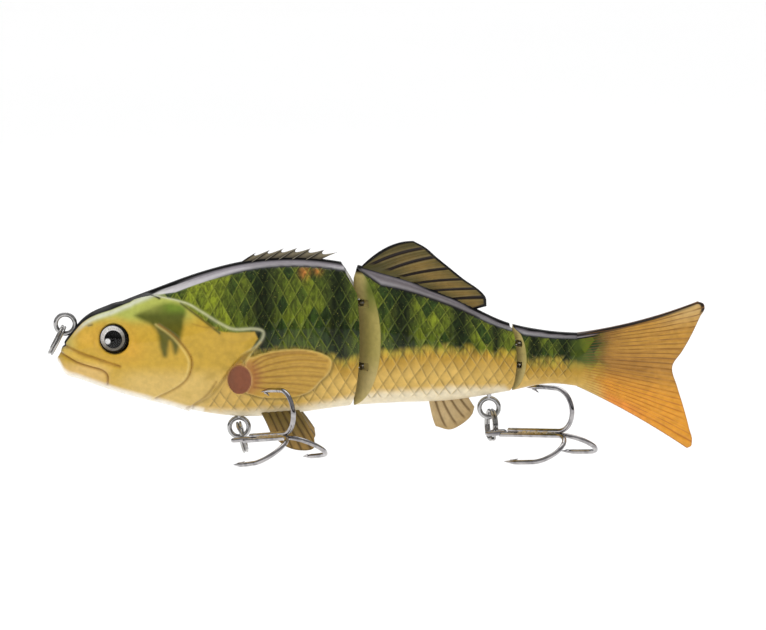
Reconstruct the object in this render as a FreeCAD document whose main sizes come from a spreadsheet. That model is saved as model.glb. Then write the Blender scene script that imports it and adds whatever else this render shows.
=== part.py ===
import FreeCAD, Part
import Sketcher
import math
import os
import re

# A three-section hard swimbait, in millimetres.
# The origin is the centre of the line-tie loop on the nose. +X runs to the tail,
# +Y to the fish's right side and +Z to its back.

doc = FreeCAD.newDocument("swimbait")
V = FreeCAD.Vector
X_AXIS = V(1, 0, 0)
Y_AXIS = V(0, 1, 0)
Z_AXIS = V(0, 0, 1)

# ---------------------------------------------------------------- sizes

# Stations along the body: place from the line tie, ridge height, keel height, half width.
STATIONS = {
    "lip": (-1.5, -6.9, -9.6, 1.2),
    "snout": (0.2, -3.9, -11.6, 2.7),
    "nostril": (3.2, 0.0, -12.8, 4.2),
    "eyeline": (11.6, 4.6, -15.7, 6.3),
    "cheek": (22.0, 8.8, -18.4, 7.8),
    "gill": (32.0, 12.4, -20.7, 8.5),
    "shoulder": (42.0, 14.9, -21.8, 8.75),
    "back": (54.0, 15.8, -20.9, 8.7),
    "joint": (67.0, 14.3, -19.2, 8.4),
    "waist": (78.0, 11.4, -18.5, 7.8),
    "loin": (90.0, 6.8, -18.0, 6.6),
    "rear": (104.0, 0.3, -15.8, 5.0),
    "stem": (113.0, -1.5, -14.1, 3.8),
    "stern": (124.5, -2.2, -15.3, 2.3),
}

# Air chambers in the head and middle shells, with the same four measures.
CHAMBERS = {
    "air_brow": (17.5, 3.5, -7.5, 4.6),
    "air_gill": (30.0, 8.4, -9.6, 6.2),
    "air_shoulder": (44.0, 11.0, -9.8, 6.6),
    "air_back": (56.5, 10.8, -9.0, 6.2),
    "air_waist": (77.5, 6.6, -7.8, 5.4),
    "air_flank": (87.0, 3.6, -8.2, 4.6),
    "air_loin": (96.0, -0.4, -7.8, 3.2),
}

SIZES = {
    # wire hardware
    "wire_radius": 0.55,
    "loop_radius": 2.25,
    "hanger_length": 7.0,
    "tie_shank": 9.0,
    "tie_slope": 40.0,
    "front_hanger_x": 40.7,
    "front_hanger_z": -24.4,
    "rear_hanger_x": 99.4,
    "rear_hanger_z": -19.8,
    # front hinge: the pin sits in the middle section, its two eyes in the head
    "front_pin_x": 69.8,
    "front_pin_radius": 0.75,
    "front_pin_top": 9.5,
    "front_pin_bottom": -14.0,
    "front_eye_wire": 0.5,
    "front_eye_radius": 1.33,
    "front_eye_high": 5.2,
    "front_eye_low": -9.6,
    "front_eye_shank": 8.5,
    "front_nose": 2.2,
    "front_socket_mid": 3.5,
    "front_socket_edge": 0.7,
    "front_socket_side": 8.5,
    # rear hinge: the same arrangement, smaller
    "rear_pin_x": 106.6,
    "rear_pin_radius": 0.6,
    "rear_pin_top": -1.8,
    "rear_pin_bottom": -12.6,
    "rear_eye_wire": 0.45,
    "rear_eye_radius": 1.12,
    "rear_eye_high": -4.3,
    "rear_eye_low": -9.4,
    "rear_eye_shank": 6.5,
    "rear_nose": 1.8,
    "rear_socket_mid": 2.7,
    "rear_socket_edge": 0.75,
    "rear_socket_side": 5.0,
    "bevel": 48.0,
    "slot_gap": 0.25,
    "slot_room": 0.6,
    # split rings: two coils of flattened wire, wound as one ring
    "ring_radius": 3.35,
    "ring_radial": 0.9,
    "ring_axial": 1.4,
    "ring_drop": 1.9,
    # treble hooks
    "hook_wire": 0.55,
    "hook_eye": 2.05,
    "hook_reach": 21.0,
    "hook_gape": 10.7,
    "hook_point": 9.4,
    "hook_taper": 3.2,
    "shank_offset": 0.66,
    "single_start": 4.5,
    "tip_radius": 0.04,
    "barb_length": 1.3,
    "barb_radius": 0.42,
    "barb_back": 3.0,
    "barb_sink": 0.1,
    "barb_turn": 122.0,
    "hook_lead": 0.6,
    # how the rings and hooks hang: place round the hanger loop from its bottom towards the
    # tail, tilt and twist of the ring, its swing to the fish's left, and the hook's place on it
    "nose_ring_swing": 27.0,
    "nose_ring_lead": 0.9,
    "front_ring_place": 20.0,
    "front_ring_tilt": 14.0,
    "front_ring_twist": 0.0,
    "front_ring_swing": 90.0,
    "front_hook_place": 0.0,
    "front_hook_yaw": -60.0,
    "front_hook_pitch": 9.0,
    "front_hook_roll": 2.0,
    "rear_ring_place": 8.0,
    "rear_ring_tilt": 0.0,
    "rear_ring_twist": 16.0,
    "rear_ring_swing": 25.0,
    "rear_hook_place": 45.0,
    "rear_hook_yaw": -47.0,
    "rear_hook_pitch": 5.0,
    "rear_hook_roll": 2.0,
    # eyes
    "eye_x": 11.6,
    "eye_z": -2.9,
    "eye_y": 5.1,
    "eye_turn": 12.0,
    "eye_radius": 3.4,
    "foil_thick": 0.4,
    "lens_sphere": 5.4,
    "eye_socket_depth": 4.0,
    # ballast
    "front_lead_x": 28.0,
    "front_lead_length": 10.0,
    "front_lead_radius": 3.2,
    "front_lead_z": -14.8,
    "mid_lead_x": 80.0,
    "mid_lead_length": 10.0,
    "mid_lead_radius": 2.6,
    "mid_lead_z": -12.9,
    # notch in the back over the front hinge: its two walls at the top and at the foot
    "notch_front": 6.2,
    "notch_front_foot": 3.0,
    "notch_rear_foot": 2.2,
    "notch_rear": 0.4,
    "notch_top": 16.6,
    "notch_foot": 10.8,
    # fins
    "dorsal_thick": 1.2,
    "second_thick": 1.5,
    "anal_thick": 1.5,
    "pelvic_thick": 1.1,
    "pelvic_splay": 40.0,
    "pelvic_root_y": 2.2,
    "pelvic_root_z": -20.2,
    "tail_thick": 1.3,
    # room for the section cuts
    "side_reach": 12.0,
    "height_reach": 40.0,
    "nose_reach": 6.0,
    "stern_reach": 2.0,
}

sheet = doc.addObject("Spreadsheet::Sheet", "sizes")
for station, (at, top, bottom, side) in list(STATIONS.items()) + list(CHAMBERS.items()):
    SIZES[station + "_at"] = at
    SIZES[station + "_top"] = top
    SIZES[station + "_bottom"] = bottom
    SIZES[station + "_side"] = side
for row, (alias, value) in enumerate(SIZES.items(), start=1):
    sheet.set("A%d" % row, alias)
    sheet.set("B%d" % row, str(value))
    sheet.setAlias("B%d" % row, alias)
doc.recompute()


def size(alias):
    """A value read back from the sheet."""
    return float(sheet.get(alias))


def formula(text):
    """An expression in which every word that is an alias points at its cell."""
    def cell(match):
        word = match.group()
        return "sizes." + word if word in SIZES else word
    return re.sub(r"[a-z][a-z_]*", cell, str(text))


def bind(thing, **expressions):
    """Bind properties to the sheet. x, y and z stand for the placement's base."""
    for name, text in expressions.items():
        path = "Placement.Base." + name if name in ("x", "y", "z") else name
        thing.setExpression(path, formula(text))
    return thing


def turned(thing, axis, angle):
    thing.Placement = FreeCAD.Placement(thing.Placement.Base, FreeCAD.Rotation(axis, angle))
    return thing


def rod(name, axis=Z_AXIS, **expressions):
    """A cylinder along X, Y or Z."""
    thing = doc.addObject("Part::Cylinder", name)
    if axis == X_AXIS:
        turned(thing, Y_AXIS, 90)
    elif axis == Y_AXIS:
        turned(thing, X_AXIS, -90)
    return bind(thing, **expressions)


def fused(name, pieces):
    thing = doc.addObject("Part::MultiFuse", name)
    thing.Shapes = pieces
    return thing


def common(name, first, second):
    thing = doc.addObject("Part::MultiCommon", name)
    thing.Shapes = [first, second]
    return thing


def cut_by(name, base, tools):
    """Base less each tool in turn."""
    for number, tool in enumerate(tools, start=1):
        step = doc.addObject("Part::Cut", "%s_cut_%d" % (name, number))
        step.Base = base
        step.Tool = tool
        base = step
    return base


def mirrored(name, source):
    thing = doc.addObject("Part::Mirroring", name)
    thing.Source = source
    thing.Normal = Y_AXIS
    return thing


NODES = {}


def node(name, thing):
    """Name a finished sub-part."""
    thing.Label = name
    NODES[name] = thing
    return thing


def prism(name, corners, upright=False):
    """A sketched outline, extruded both ways. Corners are pairs of expressions.

    A plan outline lies in XY, an upright one in XZ.
    """
    sketch = doc.addObject("Sketcher::SketchObject", name + "_sketch")
    values = [[bare_value(text) for text in corner] for corner in corners]
    count = len(corners)
    for i in range(count):
        start = V(*values[i], 0)
        end = V(*values[(i + 1) % count], 0)
        sketch.addGeometry(Part.LineSegment(start, end), False)
    for i in range(count):
        sketch.addConstraint(Sketcher.Constraint("Coincident", i, 2, (i + 1) % count, 1))
        for kind, value, text in zip(("DistanceX", "DistanceY"), values[i], corners[i]):
            index = sketch.addConstraint(Sketcher.Constraint(kind, -1, 1, i, 1, value))
            sketch.setExpression("Constraints[%d]" % index, formula(text))
    if upright:
        turned(sketch, X_AXIS, 90)
    thing = doc.addObject("Part::Extrusion", name)
    thing.Base = sketch
    thing.DirMode = "Normal"
    thing.Symmetric = True
    thing.Solid = True
    bind(thing, LengthFwd="2 * height_reach")
    return thing


def bare_value(text):
    """The number that an expression gives, for a sketch's first guess."""
    value = sheet.evalExpression(formula(text))
    return float(getattr(value, "Value", value))


def lofted(name, rows):
    """A solid through upright ellipses. Each row: place, top, bottom, half width."""
    sections = []
    for number, (at, top, bottom, side) in enumerate(rows, start=1):
        section = doc.addObject("Part::Ellipse", "%s_section_%d" % (name, number))
        turned(section, Y_AXIS, -90)
        bind(section, MajorRadius="(%s - (%s)) / 2" % (top, bottom), MinorRadius=side,
             x=at, z="(%s + %s) / 2" % (top, bottom))
        sections.append(section)
    loft = doc.addObject("Part::Loft", name)
    loft.Sections = sections
    loft.Solid = True
    loft.Ruled = False
    return loft


def station_rows(names):
    """The four cells of each named station."""
    return [[name + end for end in ("_at", "_top", "_bottom", "_side")] for name in names]


# ---------------------------------------------------------------- body form and its three sections

fish_form = lofted("fish_form", station_rows(STATIONS))

# The back is notched over the front hinge so that the sections can fold sideways.
top_notch = prism("top_notch", [
    ("front_pin_x - notch_front", "notch_top"),
    ("front_pin_x - notch_front_foot", "notch_foot"),
    ("front_pin_x - notch_rear_foot", "notch_foot"),
    ("front_pin_x - notch_rear", "notch_top"),
], upright=True)
notched_form = cut_by("notched_form", fish_form, [top_notch])


def socket_line(hinge, side):
    """How far the hollow rear end of a section reaches at a given half width."""
    depth = "%s_socket_mid" % hinge
    slope = "(%s - %s_socket_edge) / %s_socket_side" % (depth, hinge, hinge)
    return "%s_pin_x - %s + %s * %s" % (hinge, depth, slope, side)


def wedge_corners(hinge):
    """The right half of a section's pointed front end, from the pin outwards."""
    along = "%s_pin_x - %s_nose * sin(bevel)" % (hinge, hinge)
    out = "%s_nose * cos(bevel)" % hinge
    return [
        ("%s_pin_x" % hinge, "0"),
        (along, out),
        ("%s + (side_reach - %s) / tan(bevel)" % (along, out), "side_reach"),
    ]


def wedge_nose(hinge):
    """The round front of the wedge, right half, concentric with the pin."""
    thing = rod(hinge + "_wedge_nose", Radius=hinge + "_nose", Height="2 * height_reach",
                x=hinge + "_pin_x", z="-height_reach")
    thing.Angle = 180
    return thing


head_zone = prism("head_zone", [
    ("-nose_reach", "0"),
    (socket_line("front", "0"), "0"),
    (socket_line("front", "side_reach"), "side_reach"),
    ("-nose_reach", "side_reach"),
])
mid_zone = fused("mid_zone", [
    prism("mid_prism", wedge_corners("front") + [
        (socket_line("rear", "side_reach"), "side_reach"),
        (socket_line("rear", "0"), "0"),
    ]),
    wedge_nose("front"),
])
tail_zone = fused("tail_zone", [
    prism("tail_prism", wedge_corners("rear") + [
        ("stern_at + stern_reach", "side_reach"),
        ("stern_at + stern_reach", "0"),
    ]),
    wedge_nose("rear"),
])

# ---------------------------------------------------------------- wire hardware


def loop(name, x, z):
    """A closed wire loop in the XZ plane."""
    thing = turned(doc.addObject("Part::Torus", name), X_AXIS, 90)
    return bind(thing, Radius1="loop_radius", Radius2="wire_radius", x=x, z=z)


def hanger(name, x, z):
    """A loop under the belly with a shank moulded into the section above it."""
    shank = rod(name + "_shank", Radius="wire_radius", Height="hanger_length", x=x,
                z="%s + loop_radius" % z)
    return node(name, fused(name, [loop(name + "_loop", x, z), shank]))


def line_tie():
    """The loop on the nose, its shank sloping back into the head."""
    shank = doc.addObject("Part::Cylinder", "tie_shank_rod")
    turned(shank, Y_AXIS, 90 + size("tie_slope"))
    bind(shank, Radius="wire_radius", Height="tie_shank", x="loop_radius * cos(tie_slope)",
         z="-loop_radius * sin(tie_slope)")
    return node("line_tie_wire", fused("line_tie_wire", [loop("tie_loop", "0", "0"), shank]))


line_tie_wire = line_tie()
front_hanger = hanger("front_hook_hanger", "front_hanger_x", "front_hanger_z")
rear_hanger = hanger("rear_hook_hanger", "rear_hanger_x", "rear_hanger_z")


def hinge_eye(name, hinge, level):
    """A screw eye: a flat loop round the hinge pin with a shank running forward."""
    ring = doc.addObject("Part::Torus", name + "_ring")
    bind(ring, Radius1=hinge + "_eye_radius", Radius2=hinge + "_eye_wire",
         x=hinge + "_pin_x", z=level)
    shank = rod(name + "_shank", X_AXIS, Radius=hinge + "_eye_wire", Height=hinge + "_eye_shank",
                x="%s_pin_x - %s_eye_radius - %s_eye_shank" % (hinge, hinge, hinge), z=level)
    return node(name, fused(name, [ring, shank]))


def hinge_slot(name, hinge, level):
    """The pocket in the wedge in which a hinge eye turns."""
    reach = "%s_eye_radius + %s_eye_wire + slot_room" % (hinge, hinge)
    half = "(%s_eye_wire + slot_gap)" % hinge
    return rod(name, Radius=reach, Height="2 * " + half, x=hinge + "_pin_x",
               z="%s - %s" % (level, half))


def hinge_pin(name, hinge):
    return node(name, rod(name, Radius=hinge + "_pin_radius", x=hinge + "_pin_x",
                          Height="%s_pin_top - %s_pin_bottom" % (hinge, hinge),
                          z=hinge + "_pin_bottom"))


EYE_LEVELS = ("high", "low")
hinge_eyes = {}
hinge_slots = {}
for hinge in ("front", "rear"):
    for level in EYE_LEVELS:
        cell = "%s_eye_%s" % (hinge, level)
        hinge_eyes[hinge, level] = hinge_eye("%s_hinge_eye_%s" % (hinge, level), hinge, cell)
        hinge_slots[hinge, level] = hinge_slot("%s_slot_%s" % (hinge, level), hinge, cell)
front_pin = hinge_pin("front_hinge_pin", "front")
rear_pin = hinge_pin("rear_hinge_pin", "rear")

# ---------------------------------------------------------------- ballast and air chambers


def lead(name, cells):
    return node(name, rod(name, X_AXIS, Radius=cells + "_radius", Height=cells + "_length",
                          x=cells + "_x", z=cells + "_z"))


head_ballast = lead("head_ballast", "front_lead")
mid_ballast = lead("mid_ballast", "mid_lead")
head_chamber = lofted("head_chamber", station_rows(
    ["air_brow", "air_gill", "air_shoulder", "air_back"]))
mid_chamber = lofted("mid_chamber", station_rows(["air_waist", "air_flank", "air_loin"]))

# ---------------------------------------------------------------- fins


def curve(points):
    """A smooth edge through points of the XZ plane."""
    spline = Part.BSplineCurve()
    spline.interpolate([V(x, 0, z) for x, z in points])
    return [spline.toShape()]


def straight(points):
    return [Part.makeLine(V(a[0], 0, a[1]), V(b[0], 0, b[1])) for a, b in zip(points, points[1:])]


def plate(edges, thickness):
    """A flat plate in the XZ plane, centred on Y = 0."""
    face = Part.Face(Part.Wire(edges))
    face.translate(V(0, -thickness / 2, 0))
    return face.extrude(V(0, thickness, 0))


def free_form(name, shape, placement=None):
    thing = doc.addObject("Part::Feature", name)
    thing.Shape = shape
    if placement:
        thing.Placement = placement
    return thing


def spiny_dorsal():
    """Seven backward-leaning spines with notched webs, on a tongue between the shells."""
    spines = 7
    first_tip, last_tip = V(45.0, 0, 16.7), V(64.2, 0, 16.7)
    arch, notch_drop, notch_back = 1.0, 1.3, 0.6
    teeth = []
    for i in range(spines):
        share = i / (spines - 1)
        tip = first_tip + (last_tip - first_tip) * share
        lift = arch * 4 * share * (1 - share)
        teeth.append((tip.x, tip.z + lift))
        teeth.append((tip.x - notch_back, tip.z + lift - notch_drop))
    tongue = [(64.2, 14.0), (62.0, 12.6), (42.0, 12.4), (39.2, 13.6)]
    return plate(straight([tongue[-1]] + teeth + tongue), size("dorsal_thick"))


def second_dorsal():
    outer = curve([(68.5, 12.2), (69.2, 15.0), (74.5, 18.0), (80.5, 19.7), (84.6, 17.6),
                   (89.6, 13.6), (97.6, 7.6), (98.9, 4.0)])
    tongue = straight([(98.9, 4.0), (98.0, 1.6), (70.5, 10.8), (68.5, 12.2)])
    return plate(outer + tongue, size("second_thick"))


def anal():
    outer = curve([(85.0, -17.4), (85.6, -22.6), (88.2, -24.9), (91.8, -24.5), (96.0, -20.6),
                   (94.6, -17.0)])
    tongue = straight([(94.6, -17.0), (93.4, -16.0), (86.0, -16.2), (85.0, -17.4)])
    return plate(outer + tongue, size("anal_thick"))


def pelvic():
    """Drawn in its own plane, as a distance down from the root line, then splayed."""
    outer = curve([(45.0, 0.6), (49.0, -6.6), (54.0, -10.6), (58.0, -10.6), (58.4, -7.6),
                   (54.5, 0.6)])
    return plate(outer + straight([(54.5, 0.6), (45.0, 0.6)]), size("pelvic_thick"))


def tail():
    """A forked fin, its narrow tongue held inside the end of the tail section."""
    inset, tongue_length = 0.2, 7.0
    tongue_top, tongue_bottom = -5.2, -11.8
    root_x = size("stern_at")
    root_top = size("stern_top") - inset
    root_bottom = size("stern_bottom") + inset
    tongue_x = root_x - tongue_length
    upper = curve([(root_x, root_top), (133.4, 0.0), (142.6, 4.0), (148.4, 5.5)])
    upper_tip = Part.Arc(V(148.4, 0, 5.5), V(149.9, 0, 4.8), V(149.6, 0, 3.2)).toShape()
    trailing = curve([(149.6, 3.2), (145.6, -5.0), (142.5, -10.2), (144.6, -17.8), (147.2, -27.8)])
    lower_tip = Part.Arc(V(147.2, 0, -27.8), V(146.9, 0, -29.2), V(145.5, 0, -29.4)).toShape()
    lower = curve([(145.5, -29.4), (138.8, -25.2), (131.0, -19.6), (root_x, root_bottom)])
    tongue = straight([(root_x, root_bottom), (root_x, tongue_bottom), (tongue_x, tongue_bottom),
                       (tongue_x, tongue_top), (root_x, tongue_top), (root_x, root_top)])
    return plate(upper + [upper_tip] + trailing + [lower_tip] + lower + tongue, size("tail_thick"))


spiny_dorsal_fin = node("spiny_dorsal_fin", free_form("spiny_dorsal_fin", spiny_dorsal()))
second_dorsal_fin = node("second_dorsal_fin", free_form("second_dorsal_fin", second_dorsal()))
anal_fin = node("anal_fin", free_form("anal_fin", anal()))
tail_fin = node("tail_fin", free_form("tail_fin", tail()))
pelvic_root = V(0, size("pelvic_root_y"), size("pelvic_root_z"))
pelvic_fin_right = node("pelvic_fin_right", free_form(
    "pelvic_fin_right", pelvic(),
    FreeCAD.Placement(pelvic_root, FreeCAD.Rotation(X_AXIS, size("pelvic_splay")))))
pelvic_fin_left = node("pelvic_fin_left", mirrored("pelvic_fin_left", pelvic_fin_right))

# ---------------------------------------------------------------- eyes

EYE_OUT = FreeCAD.Rotation(Z_AXIS, size("eye_turn")).multiply(FreeCAD.Rotation(X_AXIS, -90))


def eye_piece(name, kind, step, **expressions):
    """A round piece on the right eye's axis, starting a step out from the socket floor."""
    thing = doc.addObject(kind, name)
    thing.Placement = FreeCAD.Placement(V(0, 0, 0), EYE_OUT)
    out = "(%s)" % step
    return bind(thing, x="eye_x - %s * sin(eye_turn)" % out, y="eye_y + %s * cos(eye_turn)" % out,
                z="eye_z", **expressions)


def lens(name):
    """A clear domed cap: the part of a sphere above the foil."""
    rim = "acos(eye_radius / lens_sphere)"
    thing = eye_piece(name, "Part::Sphere", "foil_thick - lens_sphere * sin(%s)" % rim,
                      Radius="lens_sphere", Angle1=rim)
    thing.Angle2 = 90
    return thing


eye_socket = eye_piece("eye_socket", "Part::Cylinder", "0", Radius="eye_radius",
                       Height="eye_socket_depth")
eye_foil_right = node("eye_foil_right", eye_piece(
    "eye_foil_right", "Part::Cylinder", "0", Radius="eye_radius", Height="foil_thick"))
eye_lens_right = node("eye_lens_right", lens("eye_lens_right"))
node("eye_foil_left", mirrored("eye_foil_left", eye_foil_right))
node("eye_lens_left", mirrored("eye_lens_left", eye_lens_right))

# ---------------------------------------------------------------- shells


def shells(section, zone, tools):
    """Two moulded half shells, joined at Y = 0, with room for what they hold."""
    solid = common(section + "_solid", notched_form, zone)
    right = cut_by(section, solid, tools)
    node(section + "_shell_right", right)
    node(section + "_shell_left", mirrored(section + "_shell_left", right))


shells("head", head_zone, [
    head_chamber, head_ballast, eye_socket, line_tie_wire, front_hanger,
    hinge_eyes["front", "high"], hinge_eyes["front", "low"], spiny_dorsal_fin, pelvic_fin_right,
])
shells("mid", mid_zone, [
    mid_chamber, mid_ballast, hinge_slots["front", "high"], hinge_slots["front", "low"], front_pin,
    hinge_eyes["rear", "high"], hinge_eyes["rear", "low"], rear_hanger, second_dorsal_fin, anal_fin,
])
shells("tail", tail_zone, [
    hinge_slots["rear", "high"], hinge_slots["rear", "low"], rear_pin, tail_fin,
])

# ---------------------------------------------------------------- split rings


def split_ring(name, placement):
    """A ring of rounded section, revolved about its own Z axis."""
    body = doc.addObject("PartDesign::Body", name)
    sketch = body.newObject("Sketcher::SketchObject", name + "_section")
    plane = [f for f in body.Origin.OriginFeatures if f.Role == "XZ_Plane"][0]
    sketch.AttachmentSupport = [(plane, "")]
    sketch.MapMode = "FlatFace"
    radius, radial, axial = size("ring_radius"), size("ring_radial"), size("ring_axial")
    half_flat = (axial - radial) / 2
    inner, outer = radius - radial / 2, radius + radial / 2
    sketch.addGeometry(Part.LineSegment(V(inner, -half_flat, 0), V(inner, half_flat, 0)), False)
    sketch.addGeometry(Part.LineSegment(V(outer, half_flat, 0), V(outer, -half_flat, 0)), False)
    for height, start in ((half_flat, 0), (-half_flat, math.pi)):
        circle = Part.Circle(V(radius, height, 0), Z_AXIS, radial / 2)
        sketch.addGeometry(Part.ArcOfCircle(circle, start, start + math.pi), False)
    for line_end, arc_end in (((0, 2), (2, 2)), ((1, 1), (2, 1)), ((1, 2), (3, 2)), ((0, 1), (3, 1))):
        sketch.addConstraint(Sketcher.Constraint("Tangent", *line_end, *arc_end))
    sketch.addConstraint(Sketcher.Constraint("Vertical", 0))
    named = (
        (Sketcher.Constraint("DistanceX", -1, 1, 2, 3, radius), "ring_radius"),
        (Sketcher.Constraint("Radius", 2, radial / 2), "ring_radial / 2"),
        (Sketcher.Constraint("DistanceY", -1, 1, 2, 3, half_flat), "(ring_axial - ring_radial) / 2"),
        (Sketcher.Constraint("DistanceY", 3, 3, -1, 1, half_flat), "(ring_axial - ring_radial) / 2"),
    )
    for constraint, text in named:
        index = sketch.addConstraint(constraint)
        sketch.setExpression("Constraints[%d]" % index, formula(text))
    turn = body.newObject("PartDesign::Revolution", name + "_turn")
    turn.Profile = sketch
    turn.ReferenceAxis = (sketch, ["V_Axis"])
    turn.Angle = 360
    body.Placement = placement
    return node(name, body)


def facing(normal, point):
    """Put a ring's centre at a point with its axis along a direction."""
    return FreeCAD.Placement(point, FreeCAD.Rotation(Z_AXIS, normal))


def ring_on_hanger(side):
    """A split ring on the wire of a hanger loop: its pivot, its axis and its hanging direction."""
    spot = FreeCAD.Rotation(Y_AXIS, -size(side + "_ring_place")).multVec(V(0, 0, -size("loop_radius")))
    pivot = V(size(side + "_hanger_x"), 0, size(side + "_hanger_z")) + spot
    tilted = FreeCAD.Rotation(Y_AXIS, -size(side + "_ring_tilt")).multVec(X_AXIS)
    normal = FreeCAD.Rotation(Z_AXIS, size(side + "_ring_twist")).multVec(tilted)
    down = -Z_AXIS + normal * normal.z
    down.normalize()
    away = FreeCAD.Rotation(normal, -size(side + "_ring_swing")).multVec(down)
    split_ring(side + "_ring", facing(normal, pivot + away * size("ring_drop")))
    return pivot, normal, away


def ring_on_line_tie():
    fall = FreeCAD.Rotation(Y_AXIS, size("nose_ring_swing")).multVec(-Z_AXIS)
    centre = fall * (size("ring_radius") + size("nose_ring_lead"))
    split_ring("nose_ring", facing(fall.cross(Y_AXIS), centre))


# ---------------------------------------------------------------- treble hooks


def hook_arm(name, start):
    """One wire of a hook in the XZ plane: shank, round bend, point and barb, shank along +X."""
    bow = "(hook_gape - shank_offset) / 2"
    point_base = "hook_reach - hook_point + hook_taper"
    shank = rod(name + "_shank", X_AXIS, Radius="hook_wire", Height="hook_reach - %s" % start,
                x=start, z="shank_offset")
    bend = turned(doc.addObject("Part::Torus", name + "_bend"), V(1, 1, 1), -120)
    bend.Angle3 = 180
    bind(bend, Radius1=bow, Radius2="hook_wire", x="hook_reach", z="shank_offset + " + bow)
    point = rod(name + "_point", X_AXIS, Radius="hook_wire", Height="hook_point - hook_taper",
                x=point_base, z="hook_gape")
    taper = turned(doc.addObject("Part::Cone", name + "_taper"), Y_AXIS, -90)
    bind(taper, Radius1="hook_wire", Radius2="tip_radius", Height="hook_taper", x=point_base,
         z="hook_gape")
    barb = turned(doc.addObject("Part::Cone", name + "_barb"), Y_AXIS, size("barb_turn"))
    bind(barb, Radius1="barb_radius", Radius2="tip_radius", Height="barb_length",
         x="hook_reach - hook_point + barb_back", z="hook_gape - barb_sink")
    return fused(name, [shank, bend, point, taper, barb])


def around_shank(name, arm, angle):
    """A copy of an arm, turned about the shank."""
    return free_form(name, arm.Shape, FreeCAD.Placement(V(0, 0, 0), FreeCAD.Rotation(X_AXIS, angle)))


def treble(side, pivot, normal, away):
    """A double hook bent from one wire with its eye, and a single hook brazed along it."""
    name = side + "_hook"
    single = hook_arm(name + "_single", "single_start")
    arm = hook_arm(name + "_arm", "hook_eye")
    doc.recompute()
    eye = bind(doc.addObject("Part::Torus", name + "_eye"), Radius1="hook_eye", Radius2="hook_wire")
    double = fused(name + "_double", [eye] + [around_shank("%s_arm_%d" % (name, i), arm, 120 * i)
                                              for i in (1, 2)])
    outward = FreeCAD.Rotation(normal, -size(name + "_place")).multVec(away)
    centre = pivot + away * size("ring_drop") + outward * (size("ring_radius") + size("hook_lead"))
    turn = FreeCAD.Rotation(Z_AXIS, size(name + "_yaw")).multiply(
        FreeCAD.Rotation(Y_AXIS, -size(name + "_pitch"))).multiply(
        FreeCAD.Rotation(X_AXIS, size(name + "_roll")))
    for part in (single, double):
        part.Placement = FreeCAD.Placement(centre, turn)
    node(name + "_single", single)
    node(name + "_double", double)
    return centre, turn.multVec(Z_AXIS)


ring_on_line_tie()
swings = {}
for side in ("front", "rear"):
    hanging = ring_on_hanger(side)
    swings[side + " ring"] = hanging[:2]
    swings[side + " hook"] = treble(side, *hanging)

# ---------------------------------------------------------------- checks and files

doc.recompute()
for thing in doc.Objects:
    if "Invalid" in thing.State or "Error" in thing.State:
        raise RuntimeError("%s failed: %s" % (thing.Name, thing.State))
for name, thing in NODES.items():
    shape = thing.Shape
    if shape.isNull() or not shape.isValid() or shape.Volume <= 0:
        raise RuntimeError("%s has no valid solid" % name)
    if len(shape.Solids) != 1:
        raise RuntimeError("%s has %d solids" % (name, len(shape.Solids)))

os.makedirs("parts", exist_ok=True)
for name, thing in NODES.items():
    thing.Shape.exportStep("parts/%s.step" % name)
    size_of = thing.Shape.BoundBox
    print("%-22s X %7.2f %7.2f  Y %7.2f %7.2f  Z %7.2f %7.2f  volume %9.1f" % (
        name, size_of.XMin, size_of.XMax, size_of.YMin, size_of.YMax, size_of.ZMin, size_of.ZMax,
        thing.Shape.Volume))
for name, (point, axis) in swings.items():
    print("%s swings about" % name, [round(part, 4) for part in point],
          "along", [round(part, 4) for part in axis])
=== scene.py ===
import math
from functools import partial
from types import SimpleNamespace

import bmesh
import bpy
import numpy as np
from mathutils import Euler, Matrix, Vector


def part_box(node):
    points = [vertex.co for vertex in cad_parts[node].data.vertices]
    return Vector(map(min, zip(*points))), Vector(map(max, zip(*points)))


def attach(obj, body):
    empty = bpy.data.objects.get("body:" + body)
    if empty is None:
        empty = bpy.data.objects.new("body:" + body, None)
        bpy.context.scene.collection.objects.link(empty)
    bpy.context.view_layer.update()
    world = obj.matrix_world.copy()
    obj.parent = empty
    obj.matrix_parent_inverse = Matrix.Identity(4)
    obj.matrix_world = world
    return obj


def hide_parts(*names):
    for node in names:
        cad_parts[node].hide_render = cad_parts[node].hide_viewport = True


# Looks of a three-section hard swimbait. Lengths are millimetres in the frame's axes (+X to the
# tail, +Y to the fish's right, +Z up) until mesh_piece() turns them into metres.

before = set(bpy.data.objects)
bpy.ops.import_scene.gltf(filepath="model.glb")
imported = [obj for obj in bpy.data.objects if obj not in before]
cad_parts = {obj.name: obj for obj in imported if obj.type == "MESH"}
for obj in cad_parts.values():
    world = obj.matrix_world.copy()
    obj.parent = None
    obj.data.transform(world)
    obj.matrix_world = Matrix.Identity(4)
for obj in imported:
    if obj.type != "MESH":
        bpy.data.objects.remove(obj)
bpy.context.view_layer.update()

MM = 0.001
SIDES = {"right": 1, "left": -1}


# ---------------------------------------------------------------- small tools


def tint(shade):
    """A linear colour from display values of 0 to 255. An array is linear already."""
    if isinstance(shade, np.ndarray):
        return shade
    part = np.array(shade) / 255
    return np.where(part <= 0.04045, part / 12.92, ((part + 0.055) / 1.055) ** 2.4)


def ease(start, end, value):
    """0 before start, 1 after end, smooth between them. Start may be the larger."""
    share = np.clip((value - start) / (end - start), 0, 1)
    return share * share * (3 - 2 * share)


def painted(place, base, *layers):
    """Colours at every point of place: a base, and others laid over it through their masks."""
    colour = np.broadcast_to(tint(base), place.shape + (3,))
    for shade, mask in layers:
        colour = colour + (tint(shade) - colour) * mask[..., None]
    return colour


def line_mark(distance, width):
    """1 on a line, and less beside it along a bell curve."""
    return np.exp(-(distance / width) ** 2)


def hump(value, centre, width):
    return line_mark(value - centre, width)


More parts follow.
